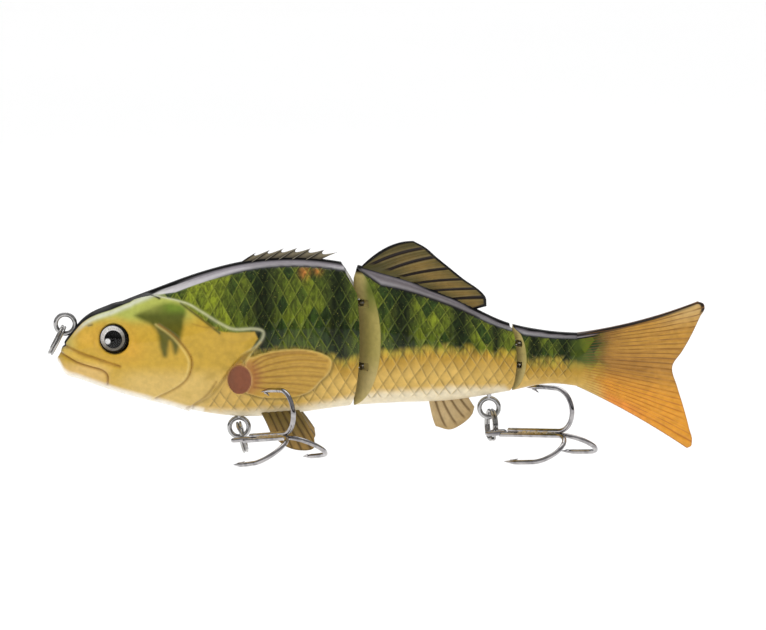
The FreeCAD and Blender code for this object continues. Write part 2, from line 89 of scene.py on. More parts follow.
def read(table, place):
    """A value between the rows of a table of places and values."""
    return np.interp(place, *zip(*table))


def through(place, knots, values):
    """A smooth curve through knots, with slopes taken from their neighbours."""
    knots, values = np.asarray(knots, float), np.asarray(values, float)
    slopes = np.gradient(values, knots)
    i = np.clip(np.searchsorted(knots, place) - 1, 0, len(knots) - 2)
    width = knots[i + 1] - knots[i]
    t = np.clip((place - knots[i]) / width, 0, 1)
    rest = 1 - t
    ends = (1 + 2 * t) * rest * rest * values[i] + t * t * (3 - 2 * t) * values[i + 1]
    return ends + width * t * rest * (rest * slopes[i] - t * slopes[i + 1])


def gap(x, z, line):
    """Distance to a line of straight runs."""
    nearest = np.full(np.shape(x), 1e9)
    for (ax, az), (bx, bz) in zip(line, line[1:]):
        dx, dz = bx - ax, bz - az
        t = np.clip(((x - ax) * dx + (z - az) * dz) / max(dx * dx + dz * dz, 1e-12), 0, 1)
        nearest = np.minimum(nearest, np.hypot(x - ax - t * dx, z - az - t * dz))
    return nearest


def depth_in(x, z, outline):
    """Distance to an outline, positive inside it and negative outside."""
    inside = np.zeros(np.shape(x), bool)
    ring = list(outline) + [outline[0]]
    for (ax, az), (bx, bz) in zip(ring, ring[1:]):
        if az == bz:
            continue
        crosses = (az > z) != (bz > z)
        inside ^= crosses & (x < ax + (bx - ax) * (z - az) / (bz - az))
    return np.where(inside, 1, -1) * gap(x, z, ring)


def rounded(points, steps=6):
    """The same outline with more points, along a smooth curve through the given ones."""
    points = np.array(points, float)
    place = np.arange(len(points))
    fine = np.linspace(0, len(points) - 1, (len(points) - 1) * steps + 1)
    return np.stack([through(fine, place, points[:, k]) for k in (0, 1)], axis=1).tolist()


# ---------------------------------------------------------------- meshes


SHARP_ANGLE = math.radians(50)


def mesh_piece(name, points, faces, material, attributes=None):
    """A mesh object from millimetre points. Points in the same place are joined."""
    points = np.asarray(points, float).reshape(-1, 3)
    _, first, place = np.unique(np.round(points, 5), axis=0, return_index=True, return_inverse=True)
    place = place.ravel()
    kept = []
    for face in faces:
        corners = list(dict.fromkeys(place[list(face)].tolist()))
        if len(corners) > 2:
            kept.append(corners)
    mesh = bpy.data.meshes.new(name)
    mesh.from_pydata((points[first] * MM).tolist(), [], kept)
    for label, values in (attributes or {}).items():
        values = np.asarray(values, np.float32).reshape(len(points), -1)[first]
        if label == "lattice":
            mesh.attributes.new(label, "FLOAT_VECTOR", "POINT").data.foreach_set(
                "vector", values.ravel())
        else:
            values = np.hstack([values, np.ones((len(values), 1), np.float32)])
            mesh.attributes.new(label, "FLOAT_COLOR", "POINT").data.foreach_set(
                "color", values.ravel())
    work = bmesh.new()
    work.from_mesh(mesh)
    bmesh.ops.recalc_face_normals(work, faces=work.faces)
    for face in work.faces:
        face.smooth = len(face.verts) < 5
    for edge in work.edges:
        if len(edge.link_faces) == 2 and edge.calc_face_angle(0) > SHARP_ANGLE:
            edge.smooth = False
    work.to_mesh(mesh)
    work.free()
    mesh.materials.append(material)
    piece = bpy.data.objects.new(name, mesh)
    bpy.context.scene.collection.objects.link(piece)
    return piece


def grid_faces(rows, columns, start=0, closed=False):
    """Quads over a grid of points stored row by row. A closed grid joins its last row to its first."""
    faces = []
    for i in range(rows if closed else rows - 1):
        here, there = start + i * columns, start + (i + 1) % rows * columns
        faces += [(here + j, here + j + 1, there + j + 1, there + j) for j in range(columns - 1)]
    return faces


def sweep(centres, across, beside, across_radius, beside_radius, sides, closed=False):
    """Points and faces of a tube of oval section along centres."""
    turn = np.linspace(0, 2 * math.pi, sides, endpoint=False)
    centres, count = np.asarray(centres, float), len(centres)
    across_radius = np.broadcast_to(across_radius, count)[:, None, None]
    beside_radius = np.broadcast_to(beside_radius, count)[:, None, None]
    points = (centres[:, None] + across[:, None] * np.cos(turn)[None, :, None] * across_radius
              + beside[:, None] * np.sin(turn)[None, :, None] * beside_radius)
    faces = []
    for i in range(count if closed else count - 1):
        here, there = i * sides, (i + 1) % count * sides
        faces += [(here + j, here + (j + 1) % sides, there + (j + 1) % sides, there + j)
                  for j in range(sides)]
    if not closed:
        faces += [tuple(range(sides)), tuple(range((count - 1) * sides, count * sides))]
    return points.reshape(-1, 3), faces


def tube(centres, radii, sides):
    """A round tube along centres that stay in a plane at right angles to Y."""
    centres = np.asarray(centres, float)
    along = np.gradient(centres, axis=0)
    along /= np.linalg.norm(along, axis=1)[:, None]
    beside = np.broadcast_to((0.0, 1.0, 0.0), centres.shape)
    return sweep(centres, np.cross(beside, along), beside, radii, radii, sides)


def gathered(parts):
    """Several points-and-faces pairs as one."""
    points, faces, start = [], [], 0
    for part_points, part_faces in parts:
        points.append(part_points)
        faces += [tuple(index + start for index in face) for face in part_faces]
        start += len(part_points)
    return np.vstack(points), faces


def dress(piece, body, slot, *nodes):
    """Tie a piece to the body it moves with and hide the CAD nodes it stands for. slot is not used."""
    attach(piece, body)
    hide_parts(*nodes)


# ---------------------------------------------------------------- materials


class Graph:
    """A node tree under construction."""

    def __init__(self, tree):
        self.nodes = tree.nodes
        self.links = tree.links

    def feed(self, socket, value):
        """Link a socket to another node's output, or set its value."""
        if isinstance(value, bpy.types.NodeSocket):
            self.links.new(value, socket)
        else:
            socket.default_value = value

    def add(self, kind, inputs=None, **settings):
        node = self.nodes.new(kind)
        for label, value in settings.items():
            setattr(node, label, value)
        for label, value in (inputs or {}).items():
            self.feed(node.inputs[label], value)
        return node

    def calc(self, operation, *values):
        return self.add("ShaderNodeMath", dict(enumerate(values)), operation=operation).outputs[0]

    def times(self, value, *others):
        for other in others:
            value = self.calc("MULTIPLY", value, other)
        return value

    def between(self, share, low, high):
        """low where share is 0, high where it is 1."""
        rest = self.calc("SUBTRACT", 1.0, share)
        return self.calc("ADD", self.times(high, share), self.times(low, rest))

    def spread(self, value, low, high, to_low, to_high, smooth=True):
        """Map a range to another one, and stop at its ends."""
        kind = "SMOOTHSTEP" if smooth else "LINEAR"
        sockets = {"Value": value, "From Min": low, "From Max": high, "To Min": to_low,
                   "To Max": to_high}
        return self.add("ShaderNodeMapRange", sockets, interpolation_type=kind).outputs[0]


class Finish(Graph):
    """A node material under construction."""

    def __init__(self, name):
        self.material = bpy.data.materials.new(name)
        self.material.use_nodes = True
        super().__init__(self.material.node_tree)
        self.shader = self.nodes["Principled BSDF"]

    def attribute(self, label, output="Color"):
        return self.add("ShaderNodeAttribute", attribute_name=label).outputs[output]

    def lattice(self):
        """The three values of the mesh's lattice attribute."""
        vector = self.attribute("lattice", "Vector")
        return self.add("ShaderNodeSeparateXYZ", {0: vector}).outputs

    def brightness(self):
        return self.add("ShaderNodeRGBToBW", {0: self.attribute("paint")}).outputs[0]

    def mix(self, share, first, second, mode="MIX"):
        node = self.add("ShaderNodeMix", data_type="RGBA", blend_type=mode)
        for index, value in ((0, share), (6, first), (7, second)):
            if isinstance(value, (tuple, np.ndarray)):
                value = (*value, 1.0)
            self.feed(node.inputs[index], value)
        return node.outputs[2]

    def noise(self, per_mm, detail=3.0, stretch=(1, 1, 1), distortion=0.0):
        """Noise in the piece's own coordinates, as lumps to the millimetre."""
        place = self.add("ShaderNodeTexCoord").outputs["Object"]
        sized = self.add("ShaderNodeMapping", {"Vector": place})
        sized.inputs["Scale"].default_value = [per_mm / MM * part for part in stretch]
        sockets = {"Vector": sized.outputs[0], "Scale": 1.0, "Detail": detail,
                   "Distortion": distortion}
        return self.add("ShaderNodeTexNoise", sockets).outputs["Fac"]

    def scaled(self, colour, amount):
        return self.add("ShaderNodeVectorMath", {0: colour, "Scale": amount},
                        operation="SCALE").outputs[0]

    def bump(self, height, depth_mm, strength=1.0):
        node = self.add("ShaderNodeBump", {"Height": height, "Distance": depth_mm * MM,
                                           "Strength": strength})
        self.links.new(node.outputs[0], self.shader.inputs["Normal"])

    def set(self, **sockets):
        for label, value in sockets.items():
            self.feed(self.shader.inputs[label.replace("_", " ")], value)
        return self


def scaly_paint():
    """Airbrushed shell: broad colours from the mesh, scale edges, painted shade on each scale and
    brushed streaks in nodes.
    """
    f = Finish("airbrushed_shell")
    along, height, strength = f.lattice()
    up, down = f.calc("ADD", along, height), f.calc("SUBTRACT", along, height)
    past_up, past_down = f.calc("FRACT", up), f.calc("FRACT", down)
    scaly = f.spread(strength, 0.3, 0.6, 0.0, 1.0)
    loud = f.spread(strength, 0.62, 0.98, 0.0, 0.95)
    broken = f.spread(f.noise(0.45, detail=4), 0.38, 0.6, 0.3, 1.0)
    mottle = f.noise(0.8, detail=5)
    streaks = f.noise(1.5, detail=4, stretch=(1, 1, 0.17), distortion=0.4)

    nearest = f.calc("MINIMUM", f.calc("PINGPONG", up, 0.5), f.calc("PINGPONG", down, 0.5))
    wobble = f.spread(f.noise(0.9), 0.3, 0.7, -0.02, 0.02)
    edge = f.spread(f.calc("ADD", nearest, wobble), 0.0, 0.1, 1.0, 0.0)
    edge = f.times(edge, strength, broken)

    calm = f.spread(mottle, 0.3, 0.7, 0.93, 1.07)
    lively = f.spread(streaks, 0.34, 0.66, 0.6, 1.45)
    # Painted shade: each scale is darker towards its front, with a painted shadow along the inside of
    # its front edges.
    back = f.spread(f.calc("ADD", past_up, past_down), 0.0, 2.0, 0.86, 1.14)
    edge_shadow = f.calc("MAXIMUM", f.spread(past_up, 0.05, 0.26, 1.0, 0.0),
                    f.spread(past_down, 0.05, 0.26, 1.0, 0.0))
    edge_shadow_gain = f.calc("SUBTRACT", 1.0, f.times(edge_shadow, broken, 0.4))
    shade = f.between(scaly, 1.0, f.times(back, edge_shadow_gain))
    colour = f.scaled(f.attribute("paint"), f.times(f.between(loud, calm, lively), shade))
    edge_share = f.times(edge, f.spread(strength, 0.6, 1.0, 0.75, 0.42))
    colour = f.mix(edge_share, colour, f.attribute("edging"))
    speckle = f.spread(f.noise(3.2, detail=2), 0.66, 0.74, 0.0, 0.4)
    colour = f.mix(f.times(speckle, loud), colour, tint((186, 176, 84)))
    f.set(Base_Color=colour, Roughness=f.spread(mottle, 0.3, 0.7, 0.3, 0.42),
          Specular_IOR_Level=0.1, Coat_Weight=f.spread(f.brightness(), 0.006, 0.03, 0.1, 0.36),
          Coat_Roughness=0.06)
    f.bump(f.calc("SUBTRACT", f.times(streaks, loud, 0.35), edge), 0.07, 0.6)
    return f.material


def fin_paint(name, ribs, streak_depth):
    """Painted fin: colour from the mesh, fine rays that run from root to edge."""
    f = Finish(name)
    across, _, strength = f.lattice()
    bend = f.spread(f.noise(0.12), 0.3, 0.7, -0.003, 0.003)
    ray = f.calc("PINGPONG", f.times(f.calc("ADD", across, bend), ribs), 0.5)
    broken = f.spread(f.noise(0.16, detail=4), 0.34, 0.56, 0.15, 1.0)
    line = f.times(f.spread(ray, 0.0, 0.2, 1.0, 0.0), broken, strength)
    mottle = f.noise(0.7, detail=5)
    colour = f.scaled(f.attribute("paint"), f.spread(mottle, 0.3, 0.7, 0.9, 1.08))
    colour = f.mix(f.times(line, streak_depth), colour, f.attribute("edging"))
    f.set(Base_Color=colour, Roughness=f.spread(mottle, 0.3, 0.7, 0.28, 0.42),
          Specular_IOR_Level=0.12, Coat_Weight=0.35, Coat_Roughness=0.08)
    f.bump(f.calc("SUBTRACT", f.times(mottle, 0.25), line), 0.06, 0.5)
    return f.material


def metal(name, bright, dull, roughness, grain=1.4):
    """Plated metal with fine draw marks, small stains and uneven polish."""
    f = Finish(name)
    marks = f.noise(grain, detail=5, stretch=(1, 1, 2.2))
    stains = f.noise(0.5, detail=4, distortion=0.6)
    colour = f.mix(f.spread(stains, 0.38, 0.7, 0.0, 1.0), bright, dull)
    f.set(Base_Color=colour, Metallic=1.0,
          Roughness=f.spread(marks, 0.3, 0.75, roughness, roughness * 2.1))
    f.bump(f.times(marks, 0.5), 0.012, 0.35)
    return f.material


def iris_paint():
    """Printed foil: rings from the mesh, with fine spokes."""
    f = Finish("eye_print")
    mottle = f.noise(2.4, detail=5)
    colour = f.scaled(f.attribute("paint"), f.spread(mottle, 0.3, 0.7, 0.82, 1.16))
    shine = f.spread(f.brightness(), 0.05, 0.3, 0.0, 0.12)
    f.set(Base_Color=colour, Metallic=shine, Roughness=f.spread(mottle, 0.3, 0.7, 0.3, 0.42),
          Specular_IOR_Level=0.05)
    f.bump(mottle, 0.02, 0.4)
    return f.material


def clear_dome():
    f = Finish("eye_dome_clear")
    haze = f.noise(0.6, detail=3)
    colour = f.mix(f.spread(haze, 0.3, 0.7, 0.0, 1.0), (0.97, 0.98, 0.97), (1.0, 1.0, 1.0))
    f.set(Base_Color=colour, Roughness=f.spread(haze, 0.3, 0.7, 0.0, 0.03),
          Transmission_Weight=1.0, IOR=1.35)
    f.bump(haze, 0.004, 0.2)
    return f.material


def floor_paint():
    f = Finish("pale_floor")
    mottle = f.noise(0.004, detail=4)
    f.set(Base_Color=f.mix(mottle, (0.975, 0.975, 0.975), (0.995, 0.995, 0.995)), Roughness=0.85)
    return f.material


# ---------------------------------------------------------------- body form

# Stations from the lip to the tail: place, ridge height, keel height, half width.
STATIONS = np.array([
    (-1.5, -6.9, -9.6, 1.2), (0.2, -3.9, -11.6, 2.7), (3.2, 0.0, -12.8, 4.2),
    (11.6, 4.6, -15.7, 6.3), (22.0, 8.8, -18.4, 7.8), (32.0, 12.4, -20.7, 8.5),
    (42.0, 14.9, -21.8, 8.75), (54.0, 15.8, -20.9, 8.7), (67.0, 14.3, -19.2, 8.4),
    (78.0, 11.4, -18.5, 7.8), (90.0, 6.8, -18.0, 6.6), (104.0, 0.3, -15.8, 5.0),
    (113.0, -1.5, -14.1, 3.8), (124.5, -2.2, -15.3, 2.3),
])
NOSE_TIP, NOSE_ROUND, NOSE_HEIGHT = -1.95, 2.0, -8.3
STERN = 120.3

# Height of the glossy facet beside the ridge, in each section.
FACETS = {
    "head": ((15.0, 0.0), (19.0, 0.7), (26.0, 2.3), (36.0, 2.1), (46.0, 1.8), (66.0, 1.55)),
    "mid": ((67.0, 0.3), (70.0, 1.3), (74.0, 2.9), (82.0, 2.3), (95.0, 1.7), (105.0, 1.3)),
    "tail": ((104.0, 0.6), (107.5, 1.6), (112.0, 1.4), (117.0, 1.3), (121.0, 1.25)),
}

RIB_HALF, RIB_HEIGHT = 0.95, 0.7      # the narrow rib that runs along the top of the facets
ROW_SPREAD = 0.3                      # how far the rows of a flank crowd towards its middle height

# Places and sizes at each joint: the pin, the wedge's nose radius, the depth and rim of the socket,
# the half width there, the heights of the screw eyes, and the slots that they turn in.
HINGES = {
    "front": dict(x=69.8, nose=2.2, deep=3.5, edge=0.7, side=8.5, eyes=(5.2, -9.6),
                  slot=2.43, slot_half=0.75, slot_side=4.6),
    "rear": dict(x=106.6, nose=1.8, deep=2.7, edge=0.75, side=5.0, eyes=(-4.3, -9.4),
                 slot=2.17, slot_half=0.7, slot_side=3.0),
}
BEVEL = math.radians(48)
SLOT_DEPTH = 0.9
# The notch in the ridge at the front joint: its heights, and X at the foot and top of both sides.
NOTCH_FOOT, NOTCH_TOP = 10.8, 16.6
NOTCH_FRONT = (66.8, 63.6)
NOTCH_REAR = (67.6, 69.4)


def form(x):
    """Ridge, keel and half width at a place along the body."""
    top, keel, side = (through(x, STATIONS[:, 0], STATIONS[:, k]) for k in (1, 2, 3))
    closing = np.sqrt(np.clip(1 - (np.clip(NOSE_TIP + NOSE_ROUND - x, 0, NOSE_ROUND)
                                   / NOSE_ROUND) ** 2, 0, 1))
    return (NOSE_HEIGHT + (top - NOSE_HEIGHT) * closing,
            NOSE_HEIGHT + (keel - NOSE_HEIGHT) * closing, side * closing)


def facet(section, x):
    return read(FACETS[section], x)


def outline(section, x, share):
    """A point of the right flank: share runs from the ridge to the keel."""
    top, keel, side = form(x)
    turn = math.pi * share + ROW_SPREAD * np.sin(2 * math.pi * share) / 2
    half = np.maximum((top - keel) / 2, 1e-6)
    y, z = side * np.sin(turn), (top + keel) / 2 + half * np.cos(turn)
    height = facet(section, x)
    crease = np.arccos(np.clip(1 - height / half, -1, 1))
    part = np.clip(turn / np.maximum(crease, 1e-6), 0, 1)
    flat = (turn < crease) & (height > 0.02)
    y = np.where(flat, side * np.sin(crease) * part, y)
    step = RIB_HEIGHT * ease(0.6, 1.2, height)
    side_wall = ease(RIB_HALF - 0.35, RIB_HALF + 0.1, y)
    z = np.where(flat, top - step * side_wall - (height - step) * part, z)
    return y, z


def notch_side(z, side):
    foot, top = side
    return foot + (top - foot) * (z - NOTCH_FOOT) / (NOTCH_TOP - NOTCH_FOOT)


def flat_cut(place, y, z):
    """A flat end across the body. Like the other cuts, it gives x at half widths and heights."""
    return np.full(np.shape(y), place)


def socket(hinge, y, z):
    """The hollow rear end of a section."""
    h = HINGES[hinge]
    x = h["x"] - h["deep"] + (h["deep"] - h["edge"]) / h["side"] * y
    if hinge == "front":
        x = np.minimum(x, notch_side(z, NOTCH_FRONT))
    return x


def wedge(hinge, y, z, slots=False):
    """The round-nosed pointed front end of a section, with its two hinge slots if asked."""
    h = HINGES[hinge]
    out = h["nose"] * math.cos(BEVEL)
    nose = h["x"] - np.sqrt(np.maximum(h["nose"] ** 2 - y ** 2, 0))
    flank = h["x"] - h["nose"] * math.sin(BEVEL) + (y - out) / math.tan(BEVEL)
    x = np.where(y < out, nose, flank)
    if hinge == "front":
        x = np.maximum(x, notch_side(z, NOTCH_REAR))
    if slots:
        back = h["x"] + np.sqrt(np.maximum(h["slot"] ** 2 - y ** 2, 0))
        for level in h["eyes"]:
            here = (np.abs(z - level) < h["slot_half"]) & (y < h["slot_side"])
            x = np.where(here, np.maximum(x + SLOT_DEPTH, np.where(y < h["slot"], back, 0)), x)
    return x


# ---------------------------------------------------------------- relief and paint of the shells

LOOK_DOWN = math.radians(7)      # drawings of the flank are laid out as seen from this much above
SCALE_LENGTH = ((0, 3.0), (92, 2.9), (112, 2.2), (130, 2.1))
SCALE_HEIGHT = ((30, 5.6), (60, 5.3), (80, 4.9), (100, 4.1), (116, 3.1))

FACE = [(-4, -12), (-4, 8), (13, 4.9), (21.3, 6.0), (25.5, 5.6), (28.2, 4.5), (32.0, 1.6),
        (36.2, -1.7), (40.0, -2.0), (44.6, -1.8), (45.3, -3.4), (43.6, -6.0), (41.0, -8.0),
        (39.0, -10.5), (37.6, -13.5), (35.5, -16.5), (33.0, -19.0), (31.0, -24.0), (-4, -25)]
GILL_EDGE = rounded([(14.0, 4.7), (17.5, 5.9), (21.3, 6.3), (28.2, 4.9), (32.2, 2.8), (36.2, 0.3),
                     (39.7, -1.2), (44.2, -1.1), (46.5, -1.7), (46.2, -3.6), (44.2, -5.7),
                     (41.1, -7.6), (37.9, -11.5), (36.2, -13.8), (33.9, -16.6), (29.9, -18.8)])
GILL_PLATE = GILL_EDGE + [(27.0, -24.0), (-4.0, -20.0), (-4.0, 3.0)]
CHEEK_GROOVE = rounded([(22.2, -0.2), (26.0, -3.0), (29.1, -6.8), (29.9, -9.4), (28.8, -12.7),
                        (26.0, -15.0), (21.3, -17.3)])
LOWER_GILL = rounded([(35.6, -13.4), (33.6, -16.2), (30.4, -18.6), (28.6, -19.4)])
UPPER_LIP = rounded([(-0.6, -4.7), (1.7, -5.9), (4.0, -7.0), (6.9, -8.0), (9.8, -9.0), (12.9, -10.0)])
MOUTH = rounded([(-1.4, -6.4), (1.1, -8.0), (3.0, -9.1), (6.1, -10.1), (8.8, -10.9), (10.0, -12.3),
                 (9.9, -14.2)])
EYE_PLACE, EYE_RADIUS = (11.6, -2.9), 3.4
EYE_OUT, EYE_TURN = 5.1, math.radians(12)      # Y of its back, and how far it looks forwards
PECTORAL = rounded([(42.6, -16.0), (42.4, -8.8), (45.0, -7.3), (49.5, -6.1), (55.5, -5.8),
                    (60.0, -6.7), (62.4, -8.3), (62.1, -10.9), (60.0, -13.2), (57.0, -15.9),
                    (52.5, -17.1), (46.5, -17.0), (42.6, -16.0)])
PECTORAL_RAYS = np.array([
    [(44.1, -9.0), (46.5, -7.5), (51.0, -6.6), (56.5, -6.3)],
    [(44.2, -9.8), (47.9, -7.9), (53.3, -6.9), (59.0, -7.1)],
    [(44.4, -10.7), (49.0, -9.1), (55.0, -8.2), (61.4, -8.6)],
    [(44.5, -11.6), (49.5, -10.5), (55.0, -9.8), (61.0, -10.3)],
    [(44.6, -12.5), (49.5, -12.1), (55.0, -11.9), (60.4, -12.3)],
    [(44.6, -13.5), (49.5, -13.6), (54.5, -13.9), (59.6, -14.6)],
    [(44.4, -14.5), (48.5, -15.1), (53.0, -15.8), (57.4, -16.4)],
])
BLOTCH = rounded([(16.6, 1.9), (19.4, 3.4), (23.2, 4.6), (26.4, 4.5), (28.5, 3.4), (28.0, 0.5),
                  (27.7, -1.7), (27.1, -3.9), (26.6, -6.2), (25.9, -7.0), (25.3, -5.0),
                  (24.7, -3.9), (24.3, -6.0), (24.0, -7.6), (23.2, -7.5), (22.5, -5.4),
                  (22.1, -2.7), (21.2, -0.9), (19.6, 0.3), (18.0, 1.0), (16.6, 1.9)], 3)
DISC, DISC_SIZE = (41.0, -12.7), (2.8, 3.3)
BARS = ((46.5, 3.6), (64.0, 3.4), (79.0, 2.9), (92.6, 2.4), (101.0, 1.2), (110.0, 1.8),
        (117.0, 1.9))
BELLY_TOP = ((26, -20.2), (38, -20.4), (50, -19.9), (62, -18.2), (70, -16.2), (90, -14.9),
             (103, -14.8), (105, -17.0), (124, -18.0))
GREEN_FOOT = ((30, -5.0), (40, -6.6), (54, -6.8), (66, -8.4), (70, -7.4), (78, -6.6), (90, -5.8),
              (100, -6.6), (106, -7.6), (113, -8.9), (124, -9.6))
CAP = ((-2, 0.6), (0, 0.75), (4, 0.7), (9, 0.85), (13, 1.1), (15.5, 1.15), (16.5, 0.95), (19, 0.95),
       (66, 0.85), (70, 0.75), (104, 0.7), (121, 0.65))

CREASE = {"head": 0.28, "mid": 0.36, "tail": 0.3}     # half width of the black painted shadow line in the crease under the facets
PLAIN_TAIL = 120.0       # the pattern of scales has faded out here
TAIL_MIDDLE = -8.3       # middle height of the body at its rear end

BLACK = (10, 9, 10)
WHITE = (224, 210, 178)


def lattice(x, arc):
    """Scale coordinates: a scale's edges lie where their sum or difference is whole."""
    line = np.arange(-5, 131, 0.5)
    count = np.cumsum(0.5 / read(SCALE_LENGTH, line))
    along = np.interp(x, line, count)
    up = arc / read(SCALE_HEIGHT, x)
    return along + 0.05 * np.sin(2.3 * up), up + 0.05 * np.sin(1.9 * along)


def cell_chance(along, up):
    """A number from 0 to 1 that is the same all over one scale."""
    i, j = np.floor(along + up), np.floor(along - up)
    value = np.sin(i * 12.9898 + j * 78.233) * 43758.5453
    return value - np.floor(value)


def body_colour(x, w, chance):
    """Back, flank and belly behind the gills. w is the height above the green's lower edge."""
    w = w + (chance - 0.5) * 1.7
    light = np.clip(0.2 + (chance - 0.5) * 0.95 + 0.6 * hump(x, 33, 8) - 0.1 * hump(x, 54, 4)
                    + 0.2 * hump(x, 86, 4) + 0.3 * hump(x, 102, 4), 0, 1)
    bars = sum(hump(x, centre, width) for centre, width in BARS)
    dark = np.clip(bars * ease(-2.5, 0.5, w) * (0.8 + 0.3 * chance), 0, 0.96)
    green = painted(x, (40, 58, 16), ((112, 122, 26), light), ((20, 28, 12), dark))
    colour = painted(
        x, (202, 166, 86),
        ((170, 132, 42), ease(-6.5, -1.0, w)),
        ((150, 130, 44), ease(-1.9, 0.1, w)),
        (green, ease(-0.4, 1.4, w)))
    edging = painted(
        x, (206, 174, 100),
        ((146, 156, 54), ease(-2.0, 0.8, w)),
        ((64, 86, 34), dark * 0.8))
    return colour, edging


def face_colour(x, z, keel):
    """Cheek and gill plate, from a green brow to a white chin."""
    olive = painted(x, (68, 74, 12), ((100, 126, 34), ease(1.5, 4.0, z) * ease(21, 26, x)))
    blotch = ease(-0.8, 0.7, depth_in(x, z, BLOTCH))
    thin = 0.5 * ease(1.5, 4.0, z) * ease(25, 20, x)
    cloud = np.sin(0.9 * x + 1.3 * np.sin(0.7 * z)) * np.sin(1.1 * z + 0.8 * np.sin(0.5 * x))
    return painted(
        x, (190, 154, 54),
        ((206, 174, 98), ease(-9.0, -13.5, z) * ease(8, 18, x)),
        ((208, 172, 100), ease(-8.0, -10.5, z) * ease(12, 8, x)),
        ((214, 158, 50), hump(x, 15.5, 3.4) * hump(z, -6.2, 3.0) * 0.5),
        ((216, 168, 70), hump(x, 5.5, 3.5) * hump(z, -3.6, 2.2) * 0.6),
        ((166, 176, 84), ease(-1.2, 2.2, z) * ease(3, 8, x) * ease(34, 26, x) * 0.9),
        ((196, 182, 104), ease(4, 0, x) * ease(-8, -5, z) * 0.8),
        (olive, blotch * (0.92 - thin)),
        ((186, 150, 58), ease(30, 40, x) * 0.5),
        ((158, 130, 44), ease(0.1, 1.0, cloud) * ease(24, 32, x) * 0.35),
        ((238, 230, 214), ease(1.7, 0.4, z - keel)))


class Flank:
    """The outside of a section, with the relief in millimetres and the paint laid on it in turn."""

    def __init__(self, section, x, y, z, arc):
        self.section, self.x, self.z = section, x, z
        top, self.keel, _ = form(x)
        self.depth = top - z
        self.seen = z * math.cos(LOOK_DOWN) - y * math.sin(LOOK_DOWN)
        self.along, self.up = lattice(x, arc)
        chance = cell_chance(self.along, self.up)
        if section == "tail":
            chance = 0.5 + (chance - 0.5) * ease(PLAIN_TAIL, PLAIN_TAIL - 3, x)
        w = self.seen - read(GREEN_FOOT, x)
        belly = read(BELLY_TOP, x)
        self.colour, self.edging = body_colour(x, w, chance)
        self.lay(WHITE, ease(belly + 1.2, belly - 1.0, self.seen + 0.5 * (chance - 0.5)))
        self.relief = np.zeros(x.shape)
        self.scaly = ease(0.4, 2.6, z - self.keel) * (0.6 + 0.4 * ease(-4, 1, w))

    def lay(self, shade, mask):
        self.colour = painted(self.x, self.colour, (shade, mask))

    def near(self, line, width, ahead=0.0):
        """1 on a drawn line, or so far ahead of it, and less beside it."""
        return line_mark(gap(self.x + ahead, self.seen, line), width)


def lay_face(flank):
    face = ease(-0.25, 0.25, depth_in(flank.x, flank.seen, FACE))
    flank.lay(face_colour(flank.x, flank.seen, flank.keel), face)
    flank.scaly = flank.scaly * (1 - face)


def mark_gills(flank):
    """The gill plate with a painted highlight along its raised edge, the groove behind the cheek and the
    folds below it.
    """
    plate = depth_in(flank.x, flank.seen, GILL_PLATE)
    edge = gap(flank.x, flank.seen, GILL_EDGE)
    # bright is where a painted highlight lies along the plate's raised edge, over its upper part.
    bright = ease(-8, -4, flank.seen) * ease(14, 20, flank.x)
    flank.relief += 0.55 * ease(-0.15, 0.25, plate) * np.exp(-np.maximum(plate, 0) / 5)
    flank.relief += 0.14 * line_mark(edge, 0.42) * ease(16, 22, flank.x)
    flank.lay((58, 66, 22), flank.near([(27.4, 4.7), (32.0, 1.3), (36.4, -2.1)], 0.33) * 0.85)
    flank.lay((214, 212, 170), line_mark(edge, 0.33) * bright * 0.6)
    flank.lay((120, 92, 38), line_mark(plate + 0.45, 0.3) * ease(-3, -7, flank.seen) * 0.45)
    flank.scaly = flank.scaly * (1 - line_mark(edge, 0.6))

    flank.relief -= 0.42 * flank.near(CHEEK_GROOVE, 0.34)
    flank.relief += 0.2 * flank.near(CHEEK_GROOVE, 0.8, 0.9)
    flank.lay((146, 108, 42), flank.near(CHEEK_GROOVE, 0.3) * 0.75)
    flank.lay((228, 202, 122), flank.near(CHEEK_GROOVE, 0.3, 0.7) * 0.45)
    flank.relief -= 0.3 * flank.near(LOWER_GILL, 0.3)
    flank.lay((140, 108, 50), flank.near(LOWER_GILL, 0.28) * 0.6)
    flank.lay((150, 118, 46), flank.near([(30.0, 0.0), (33.0, -0.8), (36.0, -0.9)], 0.22) * 0.5)


def mark_mouth(flank):
    """Both lips, the bulge between them and the nostril."""
    bulge = flank.near([(0.4, -6.4), (5.0, -8.6), (10.6, -10.3)], 0.8)
    nostril = [(5.6, -0.4), (6.4, -0.2)]
    flank.relief += 0.4 * bulge - 0.5 * flank.near(UPPER_LIP, 0.36) - 0.5 * flank.near(MOUTH, 0.3)
    flank.lay((158, 116, 46), flank.near(UPPER_LIP, 0.36) * 0.8)
    flank.lay((214, 176, 84), bulge * 0.5)
    flank.lay((140, 98, 46), flank.near(MOUTH, 0.24) * 0.8)
    flank.relief -= 0.3 * flank.near(nostril, 0.32)
    flank.lay((96, 88, 34), flank.near(nostril, 0.3) * 0.7)


def sink_eye(flank):
    """The socket of the eye, with a raised lid round it."""
    eye = np.hypot(flank.x - EYE_PLACE[0], flank.z - EYE_PLACE[1])
    flank.lay((206, 158, 56), hump(eye, 4.4, 1.0) * 0.3)
    flank.lay(BLACK, ease(EYE_RADIUS + 0.2, EYE_RADIUS - 0.02, eye))
    flank.relief += 0.3 * hump(eye, EYE_RADIUS + 0.75, 0.42)
    flank.relief -= 1.9 * ease(EYE_RADIUS + 0.22, EYE_RADIUS - 0.02, eye)


